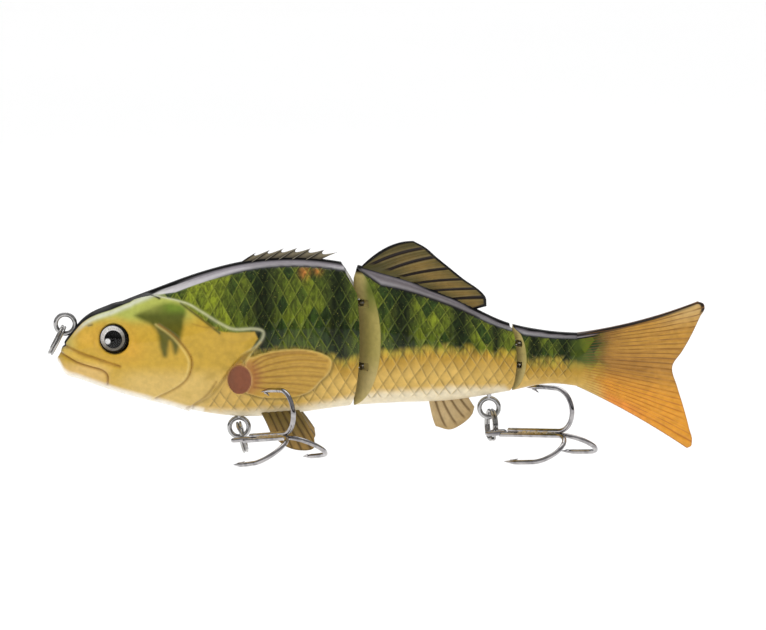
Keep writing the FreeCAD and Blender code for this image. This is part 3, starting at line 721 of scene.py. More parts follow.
def raise_pectoral(flank):
    """The moulded pectoral fin with its round base, and the fold that ties it to the gill."""
    x, seen = flank.x, flank.seen
    fin = depth_in(x, seen, PECTORAL)
    ring = np.hypot((x - DISC[0]) / DISC_SIZE[0], (seen - DISC[1]) / DISC_SIZE[1])
    disc = ease(1.06, 0.97, ring)
    here = ease(-0.15, 0.2, fin) * (1 - disc)
    fan = np.hypot(x - 41.5, seen + 12.4)
    finer_rays = (PECTORAL_RAYS[1:] + PECTORAL_RAYS[:-1]) / 2
    rays, finer = (np.minimum.reduce([gap(x, seen, rounded(line, 3)) for line in lines])
                   for lines in (PECTORAL_RAYS, finer_rays))
    sheet = painted(
        x, (192, 152, 66),
        ((164, 126, 50), line_mark(rays, 0.7) * 0.5),
        ((134, 96, 40), line_mark(rays, 0.2) * (0.45 + 0.4 * ease(14, 6, fan))),
        ((146, 108, 48), line_mark(finer, 0.15) * ease(5, 9, fan) * 0.5),
        ((150, 84, 50), hump(fan, 3.0, 1.7) * 0.6),
        ((222, 196, 120), line_mark(fin, 0.3) * 0.5))
    flank.lay((92, 82, 34), line_mark(fin + 0.35, 0.35) * 0.55)
    flank.lay(sheet, here)
    flank.lay(painted(x, (126, 72, 46), ((112, 70, 46), ease(DISC[0], DISC[0] - 2.6, x) * 0.6)), disc)
    flank.lay((206, 160, 100), line_mark(ring - 1.03, 0.05) * 0.6)
    flank.lay((214, 190, 116), flank.near([(45.9, -4.2), (43.6, -7.2), (41.9, -9.3)], 0.22) * 0.6)
    grooves = 0.2 * line_mark(rays, 0.3) + 0.08 * line_mark(finer, 0.25)
    flank.relief += here * (0.85 - 0.02 * fan - grooves)
    flank.relief += 0.95 * disc + 0.2 * line_mark(ring - 0.96, 0.08)
    flank.scaly = flank.scaly * (1 - here) * (1 - ease(1.25, 1.1, ring))


def lay_warm_spots(flank):
    """Two orange spots below the ridge, near the rear end of the head section."""
    spots = sum(hump(flank.x, x, width) * hump(flank.seen, z, height)
                for x, z, width, height in ((56.2, 12.2, 1.2, 1.6), (59.4, 12.6, 0.9, 1.1)))
    flank.lay((190, 116, 52), np.clip(spots, 0, 1) * 0.6)


def paint_ridge(flank):
    """Glossy facets beside the ridge with a painted grey reflection on them, a black painted shadow line
    in the crease below them, a painted highlight along the head's brow, and the black ridge.
    """
    x, depth, head = flank.x, flank.depth, flank.section == "head"
    height = facet(flank.section, x)
    past_facet = depth - height
    facet_here = ease(0.3, 0.7, height)
    # grey is a painted reflection of a strip light on the glossy facets.
    grey = painted(
        x, (146, 140, 146) if head else (116, 110, 114),
        ((180, 176, 176), ease(34, 20, x)),
        ((196, 192, 196), ease(0.55, 0.9, depth / np.maximum(height, 0.1)) * 0.45))
    flank.lay(grey, ease(0.0, 0.12, -past_facet) * ease(0.25, 0.6, height))
    # A black painted shadow line in the crease under the facets.
    crease_shadow = facet_here * ease(30, 42, x) if head else facet_here
    flank.lay(BLACK, line_mark(past_facet, CREASE[flank.section]) * crease_shadow)
    flank.relief -= 0.1 * line_mark(past_facet, 0.2) * facet_here

    past_cap = depth - read(CAP, x)
    if head:
        # A painted highlight along the brow, just below the black cap.
        brow = line_mark(past_cap - 0.5, 0.55) * ease(1, 5, x) * ease(25, 19, x)
        flank.lay((206, 208, 186), brow * 0.85)
        flank.lay(BLACK, flank.near([(20.4, 6.7), (22.4, 5.7)], 0.26))
    above_lip = ease(-6.1, -5.4, flank.seen + 0.4 * np.maximum(x, 0))
    flank.lay(BLACK, ease(0.1, -0.1, past_cap) * above_lip)
    flank.scaly = flank.scaly * ease(-0.1, 0.35, past_facet) * ease(-0.1, 0.35, past_cap)


def raise_scales(flank):
    """Overlapping scales, each lifted at its rear. At the nose all relief fades out."""
    rear_lift, groove_depth, groove_width = 0.15, 0.12, 0.07
    if flank.section == "tail":
        flank.scaly = flank.scaly * ease(PLAIN_TAIL + 0.5, PLAIN_TAIL - 2.5, flank.x)
    counts = flank.along + flank.up, flank.along - flank.up
    shares = [count - np.floor(count) for count in counts]
    nearest = np.minimum.reduce([np.minimum(share, 1 - share) for share in shares])
    lift = rear_lift * (sum(shares) / 2 - 0.5) - groove_depth * line_mark(nearest, groove_width)
    flank.relief = flank.relief * ease(-1.8, 0.4, flank.x) + flank.scaly * lift


def finished_flank(section, x, y, z, arc):
    flank = Flank(section, x, y, z, arc)
    if section == "head":
        for step in (lay_face, mark_gills, mark_mouth, sink_eye, raise_pectoral, lay_warm_spots):
            step(flank)
    paint_ridge(flank)
    raise_scales(flank)
    return flank


def cut_colour(y, z, front):
    """Colours of a cut end: overspray on a wedge, and painted shade that makes a socket darker."""
    colour = painted(
        y, (196, 178, 120),
        ((178, 164, 96), ease(-13, -6, z)),
        ((108, 118, 52), ease(1, 9, z) * ease(2.0, 5.0, y)),
        ((196, 178, 118), ease(5.0, 2.2, y) * 0.8),
        (BLACK, ease(11.6, 12.8, z)))
    # Rear ends get painted shade: their colour at 0.45.
    return colour if front else colour * 0.45


# ---------------------------------------------------------------- shells


MIDLENGTH, SETTLING = 60.0, 30      # start and rounds of the search for an edge on its cut
NOSE_CROWDING = 1.12                # brings the head's columns closer together at the nose


def half_shell(section, front_cut, rear_cut, rows, columns, cut_steps):
    """The closed right half of a section: points, faces and attributes."""
    share = np.linspace(0, 1, rows)
    ends = []
    for cut in (front_cut, rear_cut):
        x = np.full(rows, MIDLENGTH)
        for _ in range(SETTLING):
            y, z = outline(section, x, share)
            x = cut(y, z)
        ends.append(x)
    v = np.linspace(0, 1, columns)
    if section == "head":
        v = v ** NOSE_CROWDING
    x = ends[0][:, None] + (ends[1] - ends[0])[:, None] * v[None, :]
    y, z = outline(section, x, share[:, None])
    steps = np.hypot(np.diff(y, axis=0), np.diff(z, axis=0))
    arc = np.vstack([np.zeros((1, columns)), np.cumsum(steps, axis=0)])
    arc = arc[rows // 2] - arc
    finish = finished_flank(section, x, y, z, arc)

    skin = np.stack([x, y, z], axis=-1)
    normal = np.cross(np.gradient(skin, axis=0), np.gradient(skin, axis=1))
    normal /= np.maximum(np.linalg.norm(normal, axis=-1, keepdims=True), 1e-9)
    if normal[rows // 2, columns // 2, 1] < 0:
        normal = -normal
    skin = skin + normal * finish.relief[..., None]
    skin[[0, -1], :, 1] = 0
    skin[..., 1] = np.maximum(skin[..., 1], 0)

    def end_face(edge, cut, front):
        """Columns from the flank's edge in to the middle plane."""
        rest = 1 - np.linspace(0, 1, cut_steps + 1)[None, 1:]
        rim = skin[:, edge]
        end_y = rim[:, 1:2] * rest
        end_z = np.broadcast_to(rim[:, 2:3], end_y.shape)
        step = rim[:, :1] - cut(rim[:, 1:2], rim[:, 2:3])
        slots = {"slots": True} if front else {}
        end_x = cut(end_y, end_z, **slots) + step * rest
        shade = cut_colour(end_y, end_z, front)
        return np.stack([end_x, end_y, end_z], axis=-1), shade, shade, np.zeros(end_x.shape + (3,))

    scales = np.stack([finish.along, finish.up, finish.scaly], axis=-1)
    layers = [(skin, finish.colour, finish.edging, scales), end_face(-1, rear_cut, False)]
    if section != "head":
        layers.insert(0, tuple(part[:, ::-1] for part in end_face(0, front_cut, True)))
    points, colour, edging, scales = (np.concatenate(parts, axis=1) for parts in zip(*layers))
    wide = points.shape[1]
    top = list(range(wide))
    last = [i * wide + wide - 1 for i in range(1, rows)]
    bottom = [(rows - 1) * wide + j for j in range(wide - 2, -1, -1)]
    first = [i * wide for i in range(rows - 2, 0, -1)]
    faces = grid_faces(rows, wide) + [tuple(top + last + bottom + first)]
    return points.reshape(-1, 3), faces, {"paint": colour, "edging": edging, "lattice": scales}


def build_shells():
    paint = scaly_paint()
    plans = {
        "head": ("head", partial(flat_cut, NOSE_TIP), partial(socket, "front"), 176, 300, 12),
        "mid": ("middle", partial(wedge, "front"), partial(socket, "rear"), 168, 140, 26),
        "tail": ("tail", partial(wedge, "rear"), partial(flat_cut, STERN), 120, 66, 18),
    }
    for section, (body, *plan) in plans.items():
        points, faces, attributes = half_shell(section, *plan)
        for side, sign in SIDES.items():
            piece = mesh_piece("%s_skin_%s" % (section, side), points * (1, sign, 1), faces, paint,
                               attributes)
            dress(piece, body, "painted_shell", "%s_shell_%s" % (section, side))


# ---------------------------------------------------------------- fins

FILLET = 0.7                             # radius of a fin's edge, as a share of its thickness
# Shares of the half thickness: lost at the tips, cut by grooves, added by ribs, and in fine waves.
TIP_THINNING, GROOVE_DEPTH, RIB_RISE, WAVE_DEPTH = 0.5, 0.42, 0.7, 0.1
RIB_WIDTH = 0.36                         # in millimetres
FINE_WAVES = 30                          # number of fine waves from one end of a fin to the other


def ray_fin(name, material, roots, tips, bows, thickness, colour_of, grooves=(), ribs=(),
            groove_width=0.3, notch=0.0, root_form=None, lines=1.0, steps=(150, 60), place=None,
            shares=None):
    """A thin fin whose rays run from a root line to an outer edge.

    u runs along the fin and v out along its rays. roots and tips are matching points of the XZ
    plane, bows how far each ray bulges upwards, and shares where they lie in u, if they aren't
    evenly spaced. grooves and ribs are shares of u too. notch scallops the edge between ribs.
    """
    across, out = steps
    u, v = np.meshgrid(np.linspace(0, 1, across), np.linspace(0, 1, out), indexing="ij")
    knots = np.linspace(0, 1, len(roots)) if shares is None else shares
    root_x, root_z, tip_x, tip_z = (through(u, knots, [point[k] for point in line])
                                    for line in (roots, tips) for k in (0, 1))
    bow = through(u, knots, bows)
    reach = v
    if notch:
        spaces = len(ribs) - 1
        reach = v * (1 - notch * np.abs(np.sin(math.pi * spaces * u)) ** 0.8)
    x = root_x + (tip_x - root_x) * reach
    z = root_z + (tip_z - root_z) * reach + bow * 4 * reach * (1 - reach)
    length = np.hypot(tip_x - root_x, tip_z - root_z)
    span = np.hypot(np.gradient(x, axis=0), np.gradient(z, axis=0)) * (across - 1)
    edge = np.minimum((1 - v) * length, np.minimum(u, 1 - u) * span)
    edge_round = np.sqrt(1 - (1 - np.clip(edge / (FILLET * thickness), 0, 1)) ** 2)
    half = thickness / 2 * (1 - TIP_THINNING * v)
    in_groove, on_rib = np.zeros(u.shape), np.zeros(u.shape)
    for share in grooves:
        in_groove = np.maximum(in_groove, line_mark((u - share) * span, groove_width))
    for share in ribs:
        on_rib = np.maximum(on_rib, line_mark((u - share) * span, RIB_WIDTH))
    half = half * (1 - GROOVE_DEPTH * in_groove * ease(0.06, 0.14, v) * ease(1.0, 0.9, v))
    half = half * (1 + RIB_RISE * on_rib)
    wave = np.sin(2 * math.pi * FINE_WAVES * u)
    half = half * (1 + lines * WAVE_DEPTH * wave * ease(0.1, 0.3, v))
    half = half * edge_round
    if root_form is not None:
        half = half + (root_form(u) - half) * ease(0.3, 0.0, v)
        half[0], half[-1] = 0, 0
    colour, edging = colour_of(SimpleNamespace(x=x, z=z, u=u, v=v, edge=edge, groove=in_groove,
                                               rib=on_rib))
    scales = np.stack([u, v, ease(0.0, 0.15, v) * lines], axis=-1)
    near = np.stack([x, half, z], axis=-1).reshape(-1, 3)
    count = len(near)
    faces = grid_faces(across, out) + grid_faces(across, out, count)
    faces += [(i * out, (i + 1) * out, count + (i + 1) * out, count + i * out)
              for i in range(across - 1)]
    points = np.vstack([near, near * (1, -1, 1)])
    if place is not None:
        points = (np.array(place.to_3x3()) @ points.T).T + np.array(place.translation)
    double = {label: np.concatenate([part.reshape(-1, 3)] * 2)
              for label, part in (("paint", colour), ("edging", edging), ("lattice", scales))}
    return mesh_piece(name, points, faces, material, double)


def tail_colours(fin):
    x, z, u, v = fin.x, fin.z, fin.u, fin.v
    wave = 0.5 * np.sin(19 * u) + 0.3 * np.sin(43 * u + 1)
    chance = cell_chance(*lattice(x, z - TAIL_MIDDLE)) - 0.5
    skin, _ = body_colour(x, z - read(GREEN_FOOT, x), 0.5 + chance * ease(PLAIN_TAIL, PLAIN_TAIL + 2, x))
    below, ridge = z[:1] - z, ease(125.5, 123.5, x)
    broad_rays = ease(0.1, 1.0, np.sin(2 * math.pi * 12 * u + 1.5 * np.sin(9 * v)))
    colour = painted(
        x, (184, 136, 56),
        ((214, 146, 46), ease(0.42, 0.8, u)),
        ((176, 126, 58), hump(u, 0.48, 0.12) * 0.7),
        ((150, 104, 40), hump(x, 133, 5) * hump(z, -10.5, 3) * 0.6),
        ((138, 92, 38), broad_rays * ease(0.1, 0.4, v) * ease(0.8, 0.5, u) * 0.32),
        ((232, 138, 62), hump(u, 0.97, 0.07) * hump(x, 130, 6) * 0.6),
        ((196, 164, 106), ease(0.2, 0.0, u) * ease(0.55, 0.9, v) * 0.9),
        ((206, 108, 60), hump(u, 0.9, 0.1) * hump(x, 123.5, 3) * 0.5),
        ((84, 56, 28), ease(134, 124, x) * ease(0.5, 0.0, u) * 0.7),
        ((92, 64, 32), hump(x, 125.0, 3.0) * ease(0.85, 0.5, u) * 0.5),
        (skin, ease(128.0, 123.5, x + wave)),
        # Black ridge on top, then a band of painted grey reflection, then a black line of painted shadow
        # under the band.
        (BLACK, ease(1.5, 1.35, below) * ridge),
        ((132, 126, 128), ease(1.2, 1.05, below) * ease(0.55, 0.7, below) * ridge),
        ((26, 20, 18), ease(1.1, 0.65, fin.edge) * ease(0.09, 0.06, u)),
        ((110, 78, 52), ease(0.35, 0.05, fin.edge) * 0.45))
    return colour, painted(x, (116, 78, 34), ((168, 96, 34), ease(0.5, 0.8, u)))


def second_dorsal_colours(fin):
    # Painted highlights beside each groove, and painted shadow in it.
    light = np.clip(fin.groove * 4, 0, 1) * ease(0.1, 0.3, fin.v)
    shadow = np.clip(fin.groove * 1.5, 0, 1) * ease(0.1, 0.2, fin.v) * ease(1.0, 0.93, fin.v)
    colour = painted(
        fin.x, (78, 72, 34),
        ((124, 100, 48), hump(fin.v, 0.6, 0.3)),
        ((62, 60, 28), hump(fin.u, 0.1, 0.16) * 0.8),
        ((186, 164, 100), light * 0.4),
        ((26, 15, 10), shadow),
        (BLACK, ease(0.95, 0.5, fin.edge)))
    return colour, painted(fin.x, (62, 46, 26))


def anal_colours(fin):
    colour = painted(
        fin.x, (190, 164, 118),
        ((168, 142, 96), ease(0.4, 1.0, fin.v)),
        ((104, 80, 48), fin.groove * ease(0.95, 0.75, fin.v) * 0.85))
    return colour, painted(fin.x, (128, 102, 62))


def pelvic_colours(fin):
    colour = painted(
        fin.x, (110, 92, 48),
        ((146, 116, 62), ease(0.35, 1.0, fin.v)),
        ((66, 50, 28), fin.groove * 0.8),
        ((86, 70, 36), ease(0.4, 0.1, fin.edge) * 0.6))
    return colour, painted(fin.x, (78, 60, 32))


def spiny_colours(fin):
    colour = painted(
        fin.x, (128, 118, 94),
        ((84, 76, 60), ease(0.9, 0.3, fin.v)),
        ((24, 19, 17), np.clip(fin.rib * 1.6, 0, 1)),
        # A painted highlight down the middle of each spine.
        ((156, 148, 128), ease(0.7, 1.0, fin.rib) * 0.8),
        ((24, 18, 16), ease(0.3, 0.1, fin.edge)))
    return colour, painted(fin.x, (40, 32, 26))


def tail_root(u):
    """Half thickness of the tail fin where it leaves the body: the body's own oval section."""
    _, _, side = form(STERN)
    return (side + 0.04) * np.sqrt(np.clip(1 - (2 * u - 1) ** 2, 0, 1))


def build_tail_fin():
    top, keel, _ = (float(value) for value in form(STERN))
    tips = [(148.2, 5.35), (149.5, 4.9), (149.9, 3.9), (148.9, 1.8), (147.0, -2.3), (144.8, -6.3),
            (142.4, -10.1), (143.6, -14.9), (145.0, -19.4), (146.4, -24.6), (147.1, -27.9),
            (146.9, -28.9), (145.9, -29.4)]
    shares = [0, 0.02, 0.045, 0.1, 0.22, 0.35, 0.48, 0.62, 0.75, 0.88, 0.96, 0.98, 1]
    roots = [(STERN - 0.3, top + 0.04 + (keel - top - 0.08) * share) for share in shares]
    bows = [-0.9, -0.8, -0.7, -0.3, 0, 0, 0, 0, 0, 0.3, 0.55, 0.6, 0.7]
    piece = ray_fin("tail_fin_rays", fin_paint("tail_fin_paint", 24, 0.8), roots, tips, bows, 1.3,
                    tail_colours, root_form=tail_root, steps=(320, 120), shares=shares)
    dress(piece, "tail", "fin_plastic", "tail_fin")


def build_second_dorsal():
    roots = [(67.9, 12.0), (69.6, 12.9), (73.5, 11.9), (76.7, 10.7), (80.5, 9.4), (84.2, 7.7),
             (88.9, 5.8), (93.6, 2.8)]
    tips = [(81.6, 19.6), (84.5, 18.0), (86.9, 15.9), (90.2, 13.2), (93.4, 10.6), (96.6, 8.4),
            (98.5, 6.4), (98.8, 4.2)]
    bows = [2.0, 0.8, 0.5, 0.35, 0.25, 0.15, 0.1, 0]
    piece = ray_fin("second_dorsal_rays", fin_paint("second_dorsal_paint", 26, 0.4), roots, tips,
                    bows, 1.5, second_dorsal_colours, grooves=[k / 7 for k in range(1, 7)],
                    groove_width=0.58, lines=0.6, steps=(280, 110))
    dress(piece, "middle", "fin_plastic", "second_dorsal_fin")


def build_anal_fin():
    roots = [(85.0, -16.6), (86.6, -16.6), (88.6, -16.4), (91.0, -16.2), (94.0, -16.2)]
    tips = [(86.9, -24.2), (90.2, -25.0), (93.2, -23.6), (95.3, -21.6), (96.0, -19.6)]
    bows = [-1.1, -1.0, -0.8, -0.5, -0.2]
    piece = ray_fin("anal_fin_rays", fin_paint("anal_fin_paint", 20, 0.4), roots, tips, bows, 1.5,
                    anal_colours, grooves=(0.22, 0.42, 0.62, 0.82), lines=0.6, steps=(120, 60))
    dress(piece, "middle", "fin_plastic", "anal_fin")


def build_pelvic_fins():
    splay, root_y, root_z = math.radians(40), 2.2, -20.2
    paint = fin_paint("pelvic_fin_paint", 22, 0.5)
    roots = [(45.2, 0.6), (47.5, 0.7), (50.0, 0.7), (52.4, 0.7), (54.6, 0.6)]
    tips = [(48.4, -6.8), (51.8, -9.9), (55.2, -11.0), (58.3, -10.4), (58.4, -7.0)]
    bows = [0.5, 0.4, 0.3, 0.3, 0.3]
    for side, sign in SIDES.items():
        place = Matrix.Translation((0, sign * root_y, root_z)) @ Matrix.Rotation(
            sign * splay, 4, "X")
        piece = ray_fin("pelvic_rays_" + side, paint, roots, tips, bows, 1.1, pelvic_colours,
                        grooves=(0.2, 0.36, 0.52, 0.68, 0.84), lines=0.6, steps=(120, 60),
                        place=place)
        dress(piece, "head", "fin_plastic", "pelvic_fin_" + side)


def build_spiny_dorsal():
    spines = 7
    share = np.linspace(0, 1, spines)
    tip_x = 45.0 + 19.1 * share
    tip_z = 17.0 + 4.0 * share * (1 - share)
    roots = [(x - 5.0, float(form(x - 5.0)[0]) - 0.8) for x in tip_x]
    piece = ray_fin("spiny_dorsal_rays", fin_paint("spiny_dorsal_paint", 24, 0.4), roots,
                    list(zip(tip_x, tip_z)), [0.15] * spines, 0.95, spiny_colours, ribs=share,
                    notch=0.38, lines=0.4, steps=(260, 40))
    dress(piece, "head", "fin_plastic", "spiny_dorsal_fin")


# ---------------------------------------------------------------- eyes


def build_eyes():
    """A printed disc with a raised pupil, set into the back of the clear dome. Its print holds a painted
    highlight on the iris's upper side and a painted glint on the pupil.
    """
    profile = np.array([(0, 0.66), (1.2, 0.64), (1.85, 0.6), (2.08, 0.52), (2.2, 0.46), (2.6, 0.45),
                        (2.85, 0.46), (3.0, 0.48), (3.2, 0.46), (3.3, 0.42), (3.38, 0.36), (3.4, 0.1),
                        (3.4, 0), (0, 0)])
    shares = np.linspace(0, len(profile) - 1, 121)
    radius, height = (np.interp(shares, np.arange(len(profile)), profile[:, k]) for k in (0, 1))
    around = np.linspace(0, 2 * math.pi, 96, endpoint=False)
    angle, r = np.meshgrid(around, radius, indexing="ij")
    h = np.broadcast_to(height, r.shape)
    spokes = 0.5 + 0.5 * np.sin(48 * angle + 3 * np.sin(5 * angle))
    # A painted highlight: the iris is lighter on its upper side.
    painted_iris_highlight = ease(-0.6, 0.9, np.sin(angle - 0.5))
    rim = np.hypot(r * np.cos(angle) + 0.2, r * np.sin(angle) - 0.22)
    # A painted glint: a small white catch-light on the pupil.
    painted_glint = np.hypot(r * np.cos(angle) + 1.25, r * np.sin(angle) + 0.5)
    colour = painted(
        r, (128, 122, 112),
        ((255, 252, 250), painted_iris_highlight),
        ((150, 138, 108), spokes * hump(r, 2.45, 0.4) * 0.35),
        ((2, 2, 2), ease(2.12, 2.02, r)),
        ((9, 8, 8), ease(2.84, 2.98, rim)),
        ((252, 252, 252), ease(0.72, 0.56, painted_glint)))
    finish = iris_paint()
    dome = clear_dome()
    for side, sign in SIDES.items():
        axis = np.array((-math.sin(EYE_TURN), sign * math.cos(EYE_TURN), 0))
        level = np.array((math.cos(EYE_TURN), sign * math.sin(EYE_TURN), 0))
        up = np.array((0, 0, 1))
        centre = np.array((EYE_PLACE[0], sign * EYE_OUT, EYE_PLACE[1]))
        points = (centre + axis * h[..., None] + level * (r * np.cos(angle))[..., None]
                  + up * (r * np.sin(angle))[..., None])
        faces = grid_faces(len(around), len(radius), closed=True)
        piece = mesh_piece("eye_disc_" + side, points, faces, finish, {"paint": colour})
        dress(piece, "head", "eye_foil", "eye_foil_" + side)
        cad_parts["eye_lens_" + side].material_slots[0].material = dome


# ---------------------------------------------------------------- rings and hooks

RING_RADIUS, COIL_RADIAL, COIL_AXIAL, COIL_STEP = 3.35, 0.45, 0.33, 0.35
COIL_END = 0.3                           # radians by which two turns fall short at each end
HOOK_WIRE, HOOK_EYE, SHANK_OFFSET = 0.55, 2.05, 0.66
HOOK_REACH, HOOK_GAPE, HOOK_POINT, HOOK_TAPER = 21.0, 10.7, 9.4, 3.9
SINGLE_START = 4.5                       # the single hook's shank starts here, behind the eye
BEND_FULLNESS, BEAK = 1.02, 0.22         # stretch of the bend, and how far the point bows out
BARB_START, BARB_RUN, BARB_DROP, BARB_RADIUS = 2.2, 1.75, 0.95, 0.34
WIRE_SIDES = 24
BRAZE_START, BRAZE_END, BRAZE_RADIUS = 7.3, 20.8, 0.78
RING_TO_EYE = 3.95                       # centre of a split ring to the centre of the hook's eye


def node_centre(node):
    low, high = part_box(node)
    return np.array((low + high) / 2) / MM


def split_ring(name, normal, start, material):
    """Two close turns of flattened wire, stepping across where the first turn ends."""
    normal = np.array(normal, float) / np.linalg.norm(normal)
    first = np.cross(normal, (0, 1, 0))
    first /= np.linalg.norm(first)
    second = np.cross(normal, first)
    last = 4 * math.pi - COIL_END
    angle = np.linspace(COIL_END, last, 300)
    shift = COIL_STEP * (2 * ease(2 * math.pi - 0.5, 2 * math.pi + 0.5, angle) - 1)
    place = angle + math.radians(start)
    out = first * np.cos(place)[:, None] + second * np.sin(place)[:, None]
    centres = node_centre(name) + out * RING_RADIUS + normal * shift[:, None]
    along = np.broadcast_to(normal, out.shape)
    ends = np.clip(np.minimum(angle - COIL_END, last - angle) / 0.07, 0.35, 1)
    points, faces = sweep(centres, out, along, COIL_RADIAL, COIL_AXIAL * ends, 18)
    return mesh_piece(name + "_coils", points, faces, material)


def hook_arm(start, angle):
    """Shank, bend, needle point and barb of one wire, turned about the shank."""
    bow = (HOOK_GAPE - SHANK_OFFSET) / 2
    swing = np.linspace(-math.pi / 2, math.pi / 2, 60)
    bend = np.stack([HOOK_REACH + bow * np.cos(swing) * BEND_FULLNESS,
                     SHANK_OFFSET + bow + bow * np.sin(swing)], axis=1)
    shank = np.stack([np.linspace(start, HOOK_REACH, 40), np.full(40, SHANK_OFFSET)], axis=1)
    back = np.linspace(0, HOOK_POINT, 50)[1:]
    beak = BEAK * np.sin(math.pi * back / HOOK_POINT)
    point = np.stack([HOOK_REACH - back, HOOK_GAPE + beak], axis=1)
    line = np.vstack([shank[:-1], bend, point])
    centres = np.stack([line[:, 0], np.zeros(len(line)), line[:, 1]], axis=1)
    to_tip = np.full(len(line), 99.0)
    to_tip[-len(point):] = HOOK_POINT - back
    radii = HOOK_WIRE * np.clip(to_tip / HOOK_TAPER, 0.03, 1) ** 0.75
    wire = tube(centres, radii, WIRE_SIDES)
    barb_foot = HOOK_REACH - HOOK_POINT + BARB_START
    lift = np.linspace(0, 1, 12)
    barb_line = np.stack([barb_foot + BARB_RUN * lift, np.zeros(12),
                          HOOK_GAPE - 0.18 - BARB_DROP * lift ** 1.3], axis=1)
    sliver = tube(barb_line, BARB_RADIUS * (1 - lift) ** 0.7 + 0.02, 14)
    turn = np.array(Matrix.Rotation(math.radians(angle), 3, "X"))
    return [((turn @ points.T).T, faces) for points, faces in (wire, sliver)]


def hook_eye():
    angle = np.linspace(0, 2 * math.pi, 96, endpoint=False)
    out = np.stack([np.cos(angle), np.sin(angle), np.zeros(96)], axis=1)
    up = np.broadcast_to((0.0, 0.0, 1.0), out.shape)
    return [sweep(out * HOOK_EYE, out, up, HOOK_WIRE, HOOK_WIRE, WIRE_SIDES,
                  closed=True)]


def braze():
    """Solder that fills the groove between the three wires towards the bends."""
    along = np.linspace(BRAZE_START + 0.2, BRAZE_END - 0.2, 60)
    lumps = 1 + 0.1 * np.sin(1.9 * along) + 0.06 * np.sin(5.3 * along + 1)
    to_end = np.minimum(along - BRAZE_START, BRAZE_END - along)
    radii = BRAZE_RADIUS * lumps * np.sqrt(np.clip(to_end / 1.4, 0.02, 1))
    centres = np.stack([along, 0.05 * np.sin(2.4 * along), 0.04 * np.cos(3.1 * along)], axis=1)
    return [tube(centres, radii, WIRE_SIDES)]


def treble(side, ring, outward, yaw, pitch, roll, wire, solder):
    centre = node_centre(ring) + RING_TO_EYE * np.array(outward)
    turn = (Matrix.Rotation(math.radians(yaw), 3, "Z") @ Matrix.Rotation(math.radians(-pitch), 3, "Y")
            @ Matrix.Rotation(math.radians(roll), 3, "X"))
    plans = {
        "single": (hook_arm(SINGLE_START, 0), wire, ["%s_hook_single" % side]),
        "double": (hook_eye() + hook_arm(HOOK_EYE, 120) + hook_arm(HOOK_EYE, 240), wire,
                   ["%s_hook_double" % side]),
        "braze": (braze(), solder, []),
    }
    for kind, (parts, material, nodes) in plans.items():
        points, faces = gathered(parts)
        points = (np.array(turn) @ points.T).T + centre
        piece = mesh_piece("%s_treble_%s" % (side, kind), points, faces, material)
        dress(piece, side + "_hook", "hook_wire", *nodes)


def build_hardware():
    nickel = metal("ring_nickel", (0.50, 0.49, 0.48), (0.30, 0.29, 0.28), 0.1)
    wire = metal("hook_black_nickel", (0.46, 0.44, 0.44), (0.24, 0.23, 0.24), 0.06)
    solder = metal("hook_braze", (0.72, 0.60, 0.38), (0.52, 0.50, 0.46), 0.2, grain=2.2)
    tie = metal("hanger_steel", (0.48, 0.47, 0.47), (0.28, 0.28, 0.27), 0.12)
    hinge = metal("hinge_steel", (0.60, 0.58, 0.55), (0.30, 0.28, 0.25), 0.2)
    lead = metal("ballast_brass", (0.62, 0.48, 0.24), (0.40, 0.30, 0.16), 0.3)
    lean = math.radians(27)
    tilt = math.radians(14)
    twist = math.radians(16)
    rings = {
        "nose_ring": ((math.cos(lean), 0, -math.sin(lean)), 200),
        "front_ring": ((math.cos(tilt), 0, math.sin(tilt)), 60),
        "rear_ring": ((math.cos(twist), math.sin(twist), 0), 130),
    }
    for name, (normal, start) in rings.items():
        dress(split_ring(name, normal, start, nickel), name, "nickel_ring", name)
    treble("front", "front_ring", (0, -1, 0), -60, 9, 2, wire, solder)
    treble("rear", "rear_ring", (0.2601, -0.9037, -0.3420), -47, 5, 2, wire, solder)
    finishes = {"line_tie_wire": tie, "front_hook_hanger": tie, "rear_hook_hanger": tie,
                "head_ballast": lead, "mid_ballast": lead}
    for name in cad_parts:
        if "hinge" in name:
            finishes[name] = hinge
    for name, finish in finishes.items():
        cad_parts[name].material_slots[0].material = finish


# ---------------------------------------------------------------- studio

MIDDLE_X = 0.0745      # middle of the lure. Like all places of lamps and camera, it's in metres.


def build_floor():
    floor_drop, half_floor = 80.0, 12000.0
    corners = [(x * half_floor, y * half_floor, -floor_drop)
               for x, y in ((-1, -1), (1, -1), (1, 1), (-1, 1))]
    mesh_piece("floor", corners, [(0, 1, 2, 3)], floor_paint())


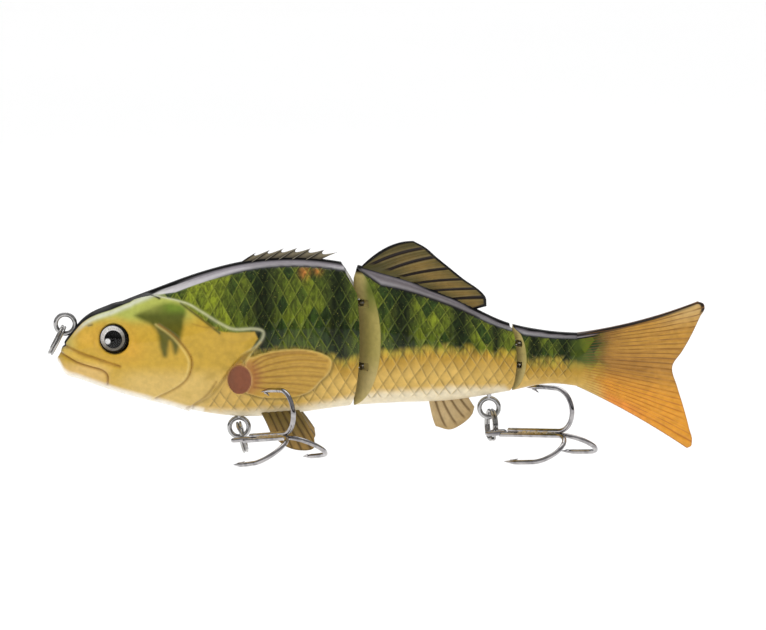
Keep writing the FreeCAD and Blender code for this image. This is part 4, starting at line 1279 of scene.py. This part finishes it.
def build_world():
    """Even light, a striped sky with a light box for mirror reflections, and a white backdrop."""
    world = bpy.data.worlds.new("studio")
    bpy.context.scene.world = world
    world.use_nodes = True
    sky = Graph(world.node_tree)
    white = (1, 1, 1, 1)
    place = sky.add("ShaderNodeTexCoord").outputs["Generated"]
    level = sky.add("ShaderNodeSeparateXYZ", {0: place}).outputs["Z"]
    horizon = sky.add("ShaderNodeValToRGB", {"Fac": level})
    stops = ((0.0, 0.10), (0.10, 0.03), (0.30, 0.45), (0.55, 0.34), (0.85, 0.42))
    ramp = horizon.color_ramp
    while len(ramp.elements) < len(stops):
        ramp.elements.new(0.5)
    for element, (position, grey) in zip(ramp.elements, stops):
        element.position = position
        element.color = (grey, grey, grey, 1)
    facing = sky.add("ShaderNodeVectorMath", {0: place, 1: (0, 0.5, 0.866)}, operation="DOT_PRODUCT")
    light_box = sky.spread(facing.outputs["Value"], 0.84, 0.9, 0.0, 1.5, smooth=False)
    total = sky.add("ShaderNodeVectorMath", {0: horizon.outputs["Color"], 1: light_box}).outputs[0]

    soft = sky.add("ShaderNodeBackground", {"Color": white, "Strength": 1.03}).outputs[0]
    glossy = sky.add("ShaderNodeBackground", {"Color": total}).outputs[0]
    backdrop = sky.add("ShaderNodeBackground", {"Color": white}).outputs[0]
    path = sky.add("ShaderNodeLightPath").outputs
    mirrored = sky.calc("SUBTRACT", path["Is Glossy Ray"], path["Is Transmission Ray"])
    mirrored.node.use_clamp = True
    lit = sky.add("ShaderNodeMixShader", {0: mirrored, 1: soft, 2: glossy}).outputs[0]
    seen = sky.add("ShaderNodeMixShader", {0: path["Is Camera Ray"], 1: lit, 2: backdrop}).outputs[0]
    sky.links.new(seen, sky.nodes["World Output"].inputs["Surface"])


def build_lamps():
    middle = Vector((MIDDLE_X, 0, -0.002))
    lamps = {"key": ((-0.25, -0.55, 0.75), 0.6, 1.1), "fill": ((0.6, -0.7, 0.15), 0.5, 0.3),
             "rim": ((0.1, 0.7, 0.6), 0.6, 0.8)}
    for name, (place, width, watts) in lamps.items():
        light = bpy.data.lights.new(name, "AREA")
        light.size = width
        light.energy = watts
        lamp = bpy.data.objects.new(name, light)
        lamp.location = middle + Vector(place)
        lamp.rotation_euler = (middle - lamp.location).to_track_quat("-Z", "Y").to_euler()
        lamp.visible_glossy = False
        bpy.context.scene.collection.objects.link(lamp)


def build_camera():
    view_width, distance, height = 0.1796, 1.6, 0.0021
    aim = Vector((MIDDLE_X, 0, height / math.cos(LOOK_DOWN)))
    lens = bpy.data.cameras.new("camera")
    lens.lens = lens.sensor_width * distance / view_width
    lens.clip_end = 50
    camera = bpy.data.objects.new("camera", lens)
    camera.location = aim + distance * Vector((0, -math.cos(LOOK_DOWN), math.sin(LOOK_DOWN)))
    camera.rotation_euler = Euler((math.pi / 2 - LOOK_DOWN, 0, 0))
    bpy.context.scene.collection.objects.link(camera)
    bpy.context.scene.camera = camera
    bpy.context.scene.view_settings.view_transform = "Standard"


build_shells()
build_tail_fin()
build_second_dorsal()
build_anal_fin()
build_pelvic_fins()
build_spiny_dorsal()
build_eyes()
build_hardware()
build_floor()
build_world()
build_lamps()
build_camera()
